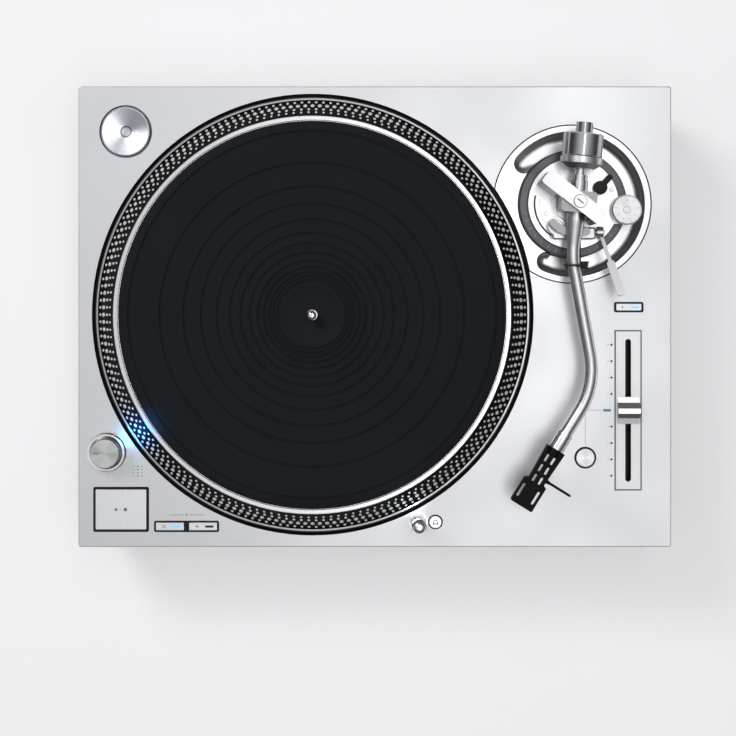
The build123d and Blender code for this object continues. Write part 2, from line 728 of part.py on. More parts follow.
BRIDGE = Plane(origin=(PIVOT_X, PIVOT_Y, 0),
               x_dir=(cos(radians(BRIDGE_ANGLE)), sin(radians(BRIDGE_ANGLE)), 0), z_dir=(0, 0, 1))
BRIDGE_FAR = 31.6
BRIDGE_NEAR = 20.8
BRIDGE_THICK = 4.0
FAR_WALL = 16.0
NEAR_WALL = 5.6

with BuildPart() as gimbal_bridge:
    with BuildSketch(BRIDGE.offset(BRIDGE_TOP - BRIDGE_THICK)):
        with Locations(((BRIDGE_FAR - BRIDGE_NEAR) / 2, 0)):
            RectangleRounded(BRIDGE_FAR + BRIDGE_NEAR, BRIDGE_W, 2.2)
    extrude(amount=BRIDGE_THICK)
    # a long wall under the far end and a short one under the near end
    with BuildSketch(BRIDGE.offset(PLATE_TOP)):
        with Locations((BRIDGE_FAR - 0.4 - FAR_WALL / 2, 0)):
            RectangleRounded(FAR_WALL, BRIDGE_W, 1.5)
        with Locations((-BRIDGE_NEAR + 0.1 + NEAR_WALL / 2, 0)):
            RectangleRounded(NEAR_WALL, BRIDGE_W, 1.5)
    extrude(amount=BRIDGE_TOP - BRIDGE_THICK - PLATE_TOP)
    # upper pivot screw with its lock nut
    with BuildSketch(BRIDGE.offset(BRIDGE_TOP)):
        Circle(4.5)
        Rectangle(6.0, 0.8, mode=Mode.SUBTRACT)
    extrude(amount=1.6)
    with BuildSketch(BRIDGE.offset(152.8)):
        Circle(2.0)
    extrude(amount=BRIDGE_TOP - 152.8)
save(gimbal_bridge, "gimbal_bridge")

# cradle that the resting tube lies over, on an arm from the plate
SHELF_TOP = 136.4
SHELF_LEFT = 142.6
SHELF_RIGHT = 159.0
CHEEK_LEFT = 153.6
with BuildPart() as arm_rest:
    with BuildSketch(level(PLATE_TOP)):
        with Locations((152.0, (REST_Y - 3.0 + 57.0) / 2)):
            Rectangle(8.0, 57.0 - REST_Y + 3.0)
    extrude(amount=3.0)
    with BuildSketch(level(PLATE_TOP)):
        with Locations((152.0, REST_Y)):
            RectangleRounded(8.0, 6.0, 1.0)
    extrude(amount=SHELF_TOP - 3.0 - PLATE_TOP)
    with BuildSketch(level(SHELF_TOP - 4.0)):
        with Locations(((SHELF_LEFT + SHELF_RIGHT) / 2, REST_Y)):
            Rectangle(SHELF_RIGHT - SHELF_LEFT, 6.0)
    extrude(amount=4.0)
    with BuildSketch(level(SHELF_TOP)):
        with Locations(((CHEEK_LEFT + SHELF_RIGHT) / 2, REST_Y)):
            Rectangle(SHELF_RIGHT - CHEEK_LEFT, 6.0)
    extrude(amount=CLIP_Z + 2.2 - SHELF_TOP)
    with BuildSketch(level(SHELF_TOP - 1.4)):
        with Locations(((CHEEK_LEFT + SHELF_RIGHT) / 2, REST_Y)):
            Rectangle(SHELF_RIGHT - CHEEK_LEFT, 2.4)
    extrude(amount=12.0, mode=Mode.SUBTRACT)
    with BuildSketch(Plane(origin=(CLIP_X, REST_Y, CLIP_Z), z_dir=(0, 1, 0))):
        Circle(1.0)
    extrude(amount=2.8, both=True)
save(arm_rest, "arm_rest")

CLIP_LEG = 15.0
CLIP_BAR = 18.0
WIRE = 1.5
with BuildPart() as arm_clip:
    with BuildSketch(Plane(origin=(CLIP_X, REST_Y, CLIP_Z), x_dir=(-1, 0, 0), z_dir=(0, 1, 0))):
        Circle(2.3)
        with Locations((0, CLIP_LEG / 2)):
            Rectangle(WIRE, CLIP_LEG)
        with Locations(((CLIP_BAR - WIRE) / 2, CLIP_LEG)):
            RectangleRounded(CLIP_BAR, WIRE, 0.6)
        Circle(1.0 + FIT, mode=Mode.SUBTRACT)
    extrude(amount=0.8, both=True)
save(arm_clip, "arm_clip")

# ---------------------------------------------------------------- cueing
CUE_SHAFT = Plane(origin=(166.0, CUE_Y, CUE_Z + 1.5), x_dir=(0, 1, 0), z_dir=(1, 0, 0))
CUE_TOP = 128.0
CUE_W = 9.0
with BuildPart() as cue_housing:
    with BuildSketch(level(119.2)):
        with Locations(((133.5 + 166.0) / 2, CUE_Y - 0.8)):
            RectangleRounded(32.5, CUE_W, 2.0)
    extrude(amount=CUE_TOP - 119.2)
    fillet(cue_housing.edges().group_by(Axis.Z)[-1], radius=1.2)
    with BuildSketch(level(PLATE_TOP, LIFT_ROD)):
        Circle(6.4)
    extrude(amount=CUE_TOP - PLATE_TOP)
    with BuildSketch(level(PLATE_TOP + 0.6, LIFT_ROD)):
        Circle(2.5 + FIT)
    extrude(amount=20.0, mode=Mode.SUBTRACT)
    with BuildSketch(level(CUE_TOP - 3.0, LIFT_ROD)):
        Circle(5.0)
    extrude(amount=6.0, mode=Mode.SUBTRACT)
    with BuildSketch(CUE_SHAFT):
        Circle(1.5)
    extrude(amount=7.0)
    with BuildSketch(CUE_SHAFT):
        Circle(1.5)
    extrude(amount=-1.0)
save(cue_housing, "cue_housing")

LEVER_RUN = Vector(15.0, -47.4, 11.0)
LEVER_SIDE = Vector(47.4, 15.0, 0.0)
LEVER = Plane(origin=(169.6, CUE_Y, CUE_Z + 1.5), x_dir=LEVER_RUN,
              z_dir=LEVER_RUN.cross(LEVER_SIDE))
LEVER_LENGTH = LEVER_RUN.length
with BuildPart() as cue_lever:
    with BuildSketch(CUE_SHAFT.offset(1.2)):
        Circle(4.2)
    extrude(amount=4.8)
    with BuildSketch(LEVER.offset(-0.9)):
        with Locations((LEVER_LENGTH / 4, 0)):
            Rectangle(LEVER_LENGTH / 2 - 2.0, 2.6)
    extrude(amount=1.8)
    with BuildSketch(LEVER.offset(-1.5)):
        with Locations((LEVER_LENGTH * 0.73, 0)):
            RectangleRounded(LEVER_LENGTH * 0.54, 6.0, 2.0)
    extrude(amount=3.0)
    with BuildSketch(CUE_SHAFT.offset(-1.0)):
        Circle(1.5 + FIT)
    extrude(amount=12.0, mode=Mode.SUBTRACT)
save(cue_lever, "cue_lever")

PLATFORM_BOTTOM = 134.6
PLATFORM_TOP = 136.6
PLATFORM_LINE = CenterArc((0, 0), 23.0, -139, 68)
with BuildPart() as lift_platform:
    with BuildSketch(level(PLATFORM_BOTTOM, PIVOT)):
        SlotArc(PLATFORM_LINE, 5.6)
    extrude(amount=PLATFORM_TOP - PLATFORM_BOTTOM)
    with BuildSketch(level(123.0, LIFT_ROD)):
        Circle(2.5)
    extrude(amount=PLATFORM_BOTTOM - 123.0)
save(lift_platform, "lift_platform")

# ---------------------------------------------------------------- knobs on the arm base
with BuildPart() as antiskate_knob:
    with BuildSketch(level(PLATE_TOP + GAP, ANTISKATE)):
        Circle(10.2)
    extrude(amount=2.0)
    with BuildSketch(level(PLATE_TOP + GAP + 2.0, ANTISKATE)):
        Circle(11.25)
    extrude(amount=8.4)
    chamfer(antiskate_knob.edges().group_by(Axis.Z)[-1], length=0.9)
    with BuildSketch(level(PLATE_TOP, ANTISKATE)):
        Circle(2.0 + FIT)
    extrude(amount=5.4, mode=Mode.SUBTRACT)
save(antiskate_knob, "antiskate_knob")

LOCK_TAIL = Plane(origin=(LOCK_KNOB[0], LOCK_KNOB[1], 0), x_dir=(8.3, 9.3, 0), z_dir=(0, 0, 1))
with BuildPart() as lock_knob:
    with BuildSketch(LOCK_TAIL.offset(PLATE_TOP + GAP)):
        Circle(5.15)
        with Locations((6.2, 0)):
            RectangleRounded(12.5, 4.2, 1.6)
    extrude(amount=7.4)
    fillet(lock_knob.edges().group_by(Axis.Z)[-1], radius=0.8)
    with BuildSketch(LOCK_TAIL.offset(PLATE_TOP)):
        Circle(2.0 + FIT)
    extrude(amount=5.4, mode=Mode.SUBTRACT)
save(lock_knob, "lock_knob")

# ---------------------------------------------------------------- gimbal and arm
FORWARD = Vector(BEND_ONE[0] - PIVOT_X, BEND_ONE[1] - PIVOT_Y, 0).normalized()
ARM = Plane(origin=(PIVOT_X, PIVOT_Y, 0), x_dir=FORWARD, z_dir=(0, 0, 1))
ARM_AXIS = Plane(origin=(PIVOT_X, PIVOT_Y, TUBE_Z), x_dir=(0, 0, 1), z_dir=FORWARD)
ARM_CROSS = Plane(origin=(PIVOT_X, PIVOT_Y, TUBE_Z), x_dir=FORWARD, z_dir=FORWARD.cross(Vector(0, 0, 1)))
RING_L = 16.0
RING_W = 26.0
RING_BOTTOM = 131.0
RING_TOP = 155.0
CHEEK = 3.0

with BuildPart() as gimbal_ring:
    with BuildSketch(ARM.offset(RING_BOTTOM)):
        RectangleRounded(RING_L, RING_W, 3.0)
    extrude(amount=RING_TOP - RING_BOTTOM)
    with BuildSketch(ARM.offset(RING_BOTTOM + CHEEK)):
        Rectangle(RING_L + 4.0, RING_W - 2 * CHEEK)
    extrude(amount=RING_TOP - RING_BOTTOM - 2 * CHEEK, mode=Mode.SUBTRACT)
    with BuildSketch(ARM.offset(RING_BOTTOM - 1.0)):
        Circle(2.0 + FIT)
    extrude(amount=40.0, mode=Mode.SUBTRACT)
    with BuildSketch(ARM_CROSS):
        Circle(1.5 + FIT)
    extrude(amount=20.0, both=True, mode=Mode.SUBTRACT)
save(gimbal_ring, "gimbal_ring")

HEAD_DIR = Vector(ARM_END[0] - BEND_TWO[0], ARM_END[1] - BEND_TWO[1], 0).normalized()
HEAD = Plane(origin=(ARM_END[0], ARM_END[1], 0), x_dir=HEAD_DIR, z_dir=(0, 0, 1))
HEAD_AXIS = Plane(origin=(ARM_END[0], ARM_END[1], TUBE_Z), x_dir=(0, 0, 1), z_dir=HEAD_DIR)
TUBE_REACH = 8.0
# along the arm, measured forward from the pivot
SHAFT_BACK = -58.9
NECK_BACK = -20.2
SLEEVE_BACK = -16.0
SLEEVE_FRONT = 13.5
TUBE_START = 33.0
NECK_R = 5.65

with BuildPart() as arm_wand:
    with BuildSketch(ARM_AXIS.offset(SLEEVE_BACK)):
        Circle(SLEEVE_R)
    extrude(amount=SLEEVE_FRONT - SLEEVE_BACK)
    with BuildSketch(ARM_AXIS.offset(SLEEVE_FRONT)):
        Circle(SLEEVE_R)
    with BuildSketch(ARM_AXIS.offset(TUBE_START)):
        Circle(TUBE_R)
    loft()
    start = Vector(PIVOT_X, PIVOT_Y, TUBE_Z) + FORWARD * TUBE_START
    end = Vector(ARM_END[0], ARM_END[1], TUBE_Z) + HEAD_DIR * TUBE_REACH
    with BuildLine() as route:
        FilletPolyline(start, (*BEND_ONE, TUBE_Z), (*BEND_TWO, TUBE_Z), end, radius=BEND_R)
    with BuildSketch(ARM_AXIS.offset(TUBE_START)):
        Circle(TUBE_R)
    sweep(path=route.wires()[0])
    # neck and shaft behind the pivot
    with BuildSketch(ARM_AXIS.offset(NECK_BACK)):
        Circle(NECK_R)
    extrude(amount=SLEEVE_BACK - NECK_BACK)
    with BuildSketch(ARM_AXIS.offset(SHAFT_BACK)):
        Circle(REAR_SHAFT_R)
    extrude(amount=NECK_BACK + 1.0 - SHAFT_BACK)
    # cross pins that the arm tips on
    with BuildSketch(ARM_CROSS):
        Circle(1.5)
    extrude(amount=12.6, both=True)
save(arm_wand, "arm_wand")

WEIGHT_FRONT = -33.6
WEIGHT_BACK = -51.0
WEIGHT_R = 14.85
TAIL_LENGTH = 8.4
TAIL_R = 6.35
HUB_LENGTH = 8.6
HUB_R = 6.0
DIAL_R = 15.75
DIAL_RIM = 4.6
DIAL_FRONT = -24.8
DIAL_FRONT_R = 9.6
with BuildPart() as counterweight:
    with BuildSketch(ARM_AXIS.offset(WEIGHT_BACK)):
        Circle(WEIGHT_R)
    extrude(amount=WEIGHT_FRONT - WEIGHT_BACK)
    chamfer(counterweight.edges().filter_by(GeomType.CIRCLE), length=0.7)
    with BuildSketch(ARM_AXIS.offset(WEIGHT_BACK - TAIL_LENGTH)):
        Circle(TAIL_R)
    extrude(amount=TAIL_LENGTH)
    with BuildSketch(ARM_AXIS.offset(WEIGHT_FRONT)):
        Circle(HUB_R)
    extrude(amount=HUB_LENGTH)
    with BuildSketch(ARM_AXIS.offset(-60.0)):
        Circle(REAR_SHAFT_R + 2 * FIT)
    extrude(amount=50.0, mode=Mode.SUBTRACT)
save(counterweight, "counterweight")

with BuildPart() as force_dial:
    with BuildSketch(ARM_AXIS.offset(WEIGHT_FRONT + GAP)):
        Circle(DIAL_R)
    extrude(amount=DIAL_RIM)
    with BuildSketch(ARM_AXIS.offset(WEIGHT_FRONT + GAP + DIAL_RIM)):
        Circle(DIAL_R)
    with BuildSketch(ARM_AXIS.offset(DIAL_FRONT)):
        Circle(DIAL_FRONT_R)
    loft()
    with BuildSketch(ARM_AXIS.offset(WEIGHT_FRONT)):
        Circle(HUB_R + FIT)
    extrude(amount=20.0, mode=Mode.SUBTRACT)
save(force_dial, "force_dial")

# ---------------------------------------------------------------- headshell
COLLAR_R = 5.8
with BuildPart() as locking_collar:
    with BuildSketch(HEAD_AXIS):
        Circle(COLLAR_R)
        Circle(TUBE_R + 0.08, mode=Mode.SUBTRACT)
    extrude(amount=COLLAR_LENGTH - 0.3)
    with BuildSketch(HEAD_AXIS.offset(3.0)):
        Circle(COLLAR_R + 0.01)
        Circle(COLLAR_R - 0.4, mode=Mode.SUBTRACT)
    extrude(amount=1.2, mode=Mode.SUBTRACT)
save(locking_collar, "locking_collar")

SHELL_BOTTOM = 140.2
SHELL_TOP = 145.0
SHELL_FRONT = 63.4
STEP = 43.0
with BuildPart() as headshell:
    with BuildSketch(HEAD.offset(SHELL_BOTTOM)):
        with BuildLine():
            Polyline((COLLAR_LENGTH, -7.7), (STEP - 1.5, -6.5), (STEP, -9.35), (SHELL_FRONT - 1, -9.35),
                     (SHELL_FRONT, -8.35), (SHELL_FRONT, 8.35), (SHELL_FRONT - 1, 9.35), (STEP, 9.35),
                     (STEP - 1.5, 6.5), (COLLAR_LENGTH, 7.7), close=True)
        make_face()
    extrude(amount=SHELL_TOP - SHELL_BOTTOM)
    # the front plate is lower than the neck, with a lip at its front edge
    with BuildSketch(HEAD.offset(SHELL_TOP - 1.4)):
        with Locations(((STEP + SHELL_FRONT) / 2 - 0.6, 0)):
            Rectangle(SHELL_FRONT - STEP - 2.4, 20.0)
    extrude(amount=5.0, mode=Mode.SUBTRACT)
    # hollow under the plate and neck
    with BuildSketch(HEAD.offset(SHELL_BOTTOM - 1.0)):
        with Locations(((20.0 + 61.0) / 2, 0)):
            Rectangle(41.0, 10.0)
    extrude(amount=2.4, mode=Mode.SUBTRACT)
    with BuildSketch(HEAD.offset(SHELL_BOTTOM - 1.0)):
        with Locations((53.0, -6.35), (53.0, 6.35)):
            SlotOverall(11.0, 2.1)
        with Locations((31.5, 0)):
            with GridLocations(8.6, 5.4, 3, 2):
                SlotOverall(6.0, 2.0)
    extrude(amount=12.0, mode=Mode.SUBTRACT)
    # round plug that the collar holds
    with BuildSketch(HEAD_AXIS.offset(TUBE_REACH + 0.3)):
        Circle(TUBE_R)
    extrude(amount=COLLAR_LENGTH - TUBE_REACH + 1.0)
    with BuildSketch(HEAD_AXIS.offset(COLLAR_LENGTH)):
        Circle(5.6)
    extrude(amount=5.0)
save(headshell, "headshell")

LIFT_X = 38.0
LIFT_Y = 6.85
with BuildPart() as finger_lift:
    with BuildSketch(Plane(origin=HEAD.offset(SHELL_BOTTOM + 1.6).from_local_coords((LIFT_X, LIFT_Y, 0)),
                           x_dir=HEAD.y_dir, z_dir=(0, 0, 1))):
        with BuildLine():
            Polyline((0, -1.6), (3.0, -1.0), (20.0, -0.9), (21.4, 0.0), (20.0, 0.9), (3.0, 1.0),
                     (0, 1.6), close=True)
        make_face()
    extrude(amount=1.4)
save(finger_lift, "finger_lift")
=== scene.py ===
"""Looks of a turntable record player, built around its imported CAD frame. Metres, +Z up."""

import json
from math import cos, pi, radians, sin, tau

import bpy
from mathutils import Matrix, Vector


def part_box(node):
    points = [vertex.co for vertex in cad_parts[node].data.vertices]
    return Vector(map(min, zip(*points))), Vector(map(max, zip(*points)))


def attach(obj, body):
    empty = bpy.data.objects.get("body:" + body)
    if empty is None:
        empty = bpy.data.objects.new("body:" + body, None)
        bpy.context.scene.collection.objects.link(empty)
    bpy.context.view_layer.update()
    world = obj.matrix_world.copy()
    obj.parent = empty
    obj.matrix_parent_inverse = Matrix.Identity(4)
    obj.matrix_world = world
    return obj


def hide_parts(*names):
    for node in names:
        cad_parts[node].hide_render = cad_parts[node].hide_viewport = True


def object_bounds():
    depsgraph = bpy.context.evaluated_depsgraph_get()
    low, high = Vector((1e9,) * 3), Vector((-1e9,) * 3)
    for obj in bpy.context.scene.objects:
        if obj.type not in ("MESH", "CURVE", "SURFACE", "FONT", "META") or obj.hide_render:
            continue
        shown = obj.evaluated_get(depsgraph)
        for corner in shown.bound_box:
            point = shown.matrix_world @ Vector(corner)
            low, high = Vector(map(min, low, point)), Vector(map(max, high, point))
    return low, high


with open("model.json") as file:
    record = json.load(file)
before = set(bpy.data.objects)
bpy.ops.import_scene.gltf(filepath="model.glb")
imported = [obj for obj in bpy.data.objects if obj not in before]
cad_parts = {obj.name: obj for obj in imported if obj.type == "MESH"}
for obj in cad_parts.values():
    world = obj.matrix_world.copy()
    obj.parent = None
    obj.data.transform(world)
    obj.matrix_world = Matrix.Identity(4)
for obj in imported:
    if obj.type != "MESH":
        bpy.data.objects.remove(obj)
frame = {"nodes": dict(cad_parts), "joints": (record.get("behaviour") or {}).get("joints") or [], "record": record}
CAD_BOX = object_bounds()
NODES = frame["nodes"]
JOINTS = {joint["name"]: joint for joint in frame["joints"]}
MM = 0.001
PRINT = 0.06 * MM           # how far printed marks stand proud of their surface
SINK = 0.02 * MM            # how far they reach down into it


# ---------------------------------------------------------------- places, read from the frame
def middle(node):
    """The middle of a node's box."""
    low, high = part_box(node)
    return (low + high) / 2


def top_of(node):
    """The height of a node's highest point."""
    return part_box(node)[1].z


PLATTER = middle("platter_mat")
MAT_LOW, MAT_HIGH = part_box("platter_mat")
MAT_R = (MAT_HIGH.x - MAT_LOW.x) / 2
PANEL_TOP = top_of("top_panel")
PIVOT = Vector(JOINTS["arm_swing"]["pos_m"])
ARM_BACK = Vector(JOINTS["counterweight_slide"]["axis"])
PITCH = middle("pitch_plate")
ADAPTOR = middle("ep_adaptor")
STROBE = Vector(JOINTS["power_turn"]["pos_m"])
RESET = middle("reset_button")
LAMP_BUTTON = middle("lamp_button")
ANTISKATE = Vector(JOINTS["antiskate_turn"]["pos_m"])


# ---------------------------------------------------------------- camera
VIEW_HEIGHT = 1.35          # lens above the top panel
VIEW_WIDTH = 0.5623         # what the frame spans at the top panel
NADIR = (0.0, 0.031)        # the point straight below the lens
FRAME_MIDDLE = (-0.0052, -0.0392)      # the point in the middle of the frame
SENSOR = 36.0               # width in mm


def add_camera():
    """The photograph's view, straight down, with the frame shifted off the lens's axis."""
    data = bpy.data.cameras.new("camera")
    data.sensor_width = SENSOR
    data.lens = SENSOR * VIEW_HEIGHT / VIEW_WIDTH
    data.shift_x = (FRAME_MIDDLE[0] - NADIR[0]) / VIEW_WIDTH
    data.shift_y = (FRAME_MIDDLE[1] - NADIR[1]) / VIEW_WIDTH
    camera = bpy.data.objects.new("camera", data)
    camera.location = (*NADIR, PANEL_TOP + VIEW_HEIGHT)
    bpy.context.scene.collection.objects.link(camera)
    bpy.context.scene.camera = camera


# ---------------------------------------------------------------- materials
class Shader:
    """A material's node tree, with short ways to add to it."""

    def __init__(self, name):
        self.material = bpy.data.materials.new(name)
        self.material.use_nodes = True
        self.tree = self.material.node_tree
        self.shader = self.tree.nodes["Principled BSDF"]
        self.place = self.node("ShaderNodeTexCoord").outputs["Object"]

    def node(self, kind, **settings):
        """Add a node and set its properties."""
        made = self.tree.nodes.new(kind)
        for key, value in settings.items():
            setattr(made, key, value)
        return made

    def link(self, output, target):
        self.tree.links.new(output, target)

    def put(self, made, **inputs):
        """Set or link a node's inputs by name."""
        for key, value in inputs.items():
            socket = made.inputs[key.replace("_", " ")]
            if isinstance(value, bpy.types.NodeSocket):
                self.link(value, socket)
            else:
                socket.default_value = value
        return made

    def noise(self, scale, detail=2.0, stretch=(1, 1, 1), rough=0.5):
        """Noise fixed to the piece; a smaller stretch draws it out along that axis."""
        mapping = self.node("ShaderNodeMapping")
        self.link(self.place, mapping.inputs["Vector"])
        mapping.inputs["Scale"].default_value = stretch
        made = self.node("ShaderNodeTexNoise")
        self.put(made, Vector=mapping.outputs["Vector"], Scale=scale, Detail=detail, Roughness=rough)
        return made.outputs["Fac"]

    def ramp(self, value, low, high):
        """Map the middle of a noise's values, 0.3 to 0.7, onto another range."""
        made = self.node("ShaderNodeMapRange")
        self.link(value, made.inputs["Value"])
        for socket, number in (("From Min", 0.3), ("From Max", 0.7), ("To Min", low), ("To Max", high)):
            made.inputs[socket].default_value = number
        return made.outputs["Result"]

    def mix(self, value, colour_a, colour_b):
        """Two colours mixed by a value; sockets 6 and 7, and output 2, are the colour ones."""
        made = self.node("ShaderNodeMix", data_type="RGBA")
        self.link(value, made.inputs["Factor"])
        made.inputs[6].default_value = (*colour_a, 1.0)
        made.inputs[7].default_value = (*colour_b, 1.0)
        return made.outputs[2]

    def radius(self, centre):
        """Distance from a vertical line through a point."""
        offset = self.node("ShaderNodeVectorMath", operation="SUBTRACT")
        self.link(self.place, offset.inputs[0])
        offset.inputs[1].default_value = centre
        flat = self.node("ShaderNodeVectorMath", operation="MULTIPLY")
        self.link(offset.outputs[0], flat.inputs[0])
        flat.inputs[1].default_value = (1, 1, 0)
        length = self.node("ShaderNodeVectorMath", operation="LENGTH")
        self.link(flat.outputs[0], length.inputs[0])
        return length.outputs["Value"]

    def rings(self, centre, scale):
        """Fine turning marks round a vertical line."""
        spread = self.node("ShaderNodeCombineXYZ")
        self.link(self.radius(centre), spread.inputs["X"])
        made = self.node("ShaderNodeTexNoise")
        self.put(made, Vector=spread.outputs["Vector"], Scale=scale, Detail=3.0, Roughness=0.7)
        return made.outputs["Fac"]

    def bump(self, height, strength, distance):
        """Relief from a value; distance is its depth in metres."""
        made = self.node("ShaderNodeBump")
        self.put(made, Height=height, Strength=strength, Distance=distance)
        self.link(made.outputs["Normal"], self.shader.inputs["Normal"])

    def finish(self, metallic=0.0, **constants):
        """Set the shader's constant sockets and hand over the material."""
        self.shader.inputs["Metallic"].default_value = metallic
        for key, value in constants.items():
            self.shader.inputs[key.replace("_", " ")].default_value = value
        return self.material


def shade(colour, factor):
    """A colour made lighter or darker, kept within range."""
    return tuple(min(1.0, c * factor) for c in colour)


def satin_metal(name, colour, rough, grain=2600.0, bump=0.25, metallic=1.0):
    """Blasted or cast metal: a fine grain, and a slow change of gloss."""
    s = Shader(name)
    fine = s.noise(grain, 3.0, rough=0.65)
    slow = s.noise(9.0)
    s.link(s.mix(fine, shade(colour, 0.95), shade(colour, 1.05)), s.shader.inputs["Base Color"])
    s.link(s.ramp(slow, rough * 0.88, rough * 1.12), s.shader.inputs["Roughness"])
    s.bump(fine, bump, 0.04 * MM)
    return s.finish(metallic=metallic)


def spun_metal(name, colour, centre, rough, aniso=0.75):
    """Metal turned on a lathe, with rings round a vertical line."""
    s = Shader(name)
    rings = s.rings(centre, 5200.0)
    slow = s.noise(40.0)
    s.link(s.mix(rings, shade(colour, 0.9), shade(colour, 1.06)), s.shader.inputs["Base Color"])
    s.link(s.ramp(slow, rough * 0.9, rough * 1.15), s.shader.inputs["Roughness"])
    s.bump(rings, 0.22, 0.03 * MM)
    tangent = s.node("ShaderNodeTangent", direction_type="RADIAL", axis="Z")
    s.link(tangent.outputs["Tangent"], s.shader.inputs["Tangent"])
    return s.finish(metallic=1.0, Anisotropic=aniso)


def drawn_metal(name, colour, stretch, rough, marks=2400.0, vary=0.07, bump=0.12):
    """Polished metal with long fine lines; stretch is small along the lines."""
    s = Shader(name)
    lines = s.noise(marks, 3.0, stretch=stretch, rough=0.6)
    slow = s.noise(25.0)
    s.link(s.mix(lines, shade(colour, 1 - vary), shade(colour, 1 + vary)), s.shader.inputs["Base Color"])
    s.link(s.ramp(slow, rough * 0.85, rough * 1.2), s.shader.inputs["Roughness"])
    s.bump(lines, bump, 0.03 * MM)
    return s.finish(metallic=1.0)


def moulded(name, colour, rough, grain=1800.0, bump=0.35, vary=0.18, **constants):
    """Plastic or rubber with a moulded skin."""
    s = Shader(name)
    fine = s.noise(grain, 2.0, rough=0.6)
    slow = s.noise(14.0)
    s.link(s.mix(slow, shade(colour, 1 - vary), shade(colour, 1 + vary)), s.shader.inputs["Base Color"])
    s.link(s.ramp(fine, rough * 0.85, rough * 1.15), s.shader.inputs["Roughness"])
    s.bump(fine, bump, 0.05 * MM)
    return s.finish(**constants)


def glowing(name, colour, strength, centre, reach):
    """A lit window: brightest in its middle, dimmer at reach, with a faint grain in the diffuser."""
    s = Shader(name)
    offset = s.node("ShaderNodeVectorMath", operation="DISTANCE")
    s.link(s.place, offset.inputs[0])
    offset.inputs[1].default_value = centre
    fade = s.node("ShaderNodeMapRange")
    s.put(fade, Value=offset.outputs["Value"], From_Max=reach, To_Min=strength, To_Max=strength * 0.45)
    grain = s.noise(900.0)
    s.link(s.mix(grain, shade(colour, 0.75), colour), s.shader.inputs["Base Color"])
    s.link(s.mix(grain, shade(colour, 0.9), colour), s.shader.inputs["Emission Color"])
    s.link(fade.outputs["Result"], s.shader.inputs["Emission Strength"])
    return s.finish(Roughness=0.3)


SILVER = (0.77, 0.77, 0.785)
PALE = (0.86, 0.86, 0.87)
DARK = (0.006, 0.006, 0.007)


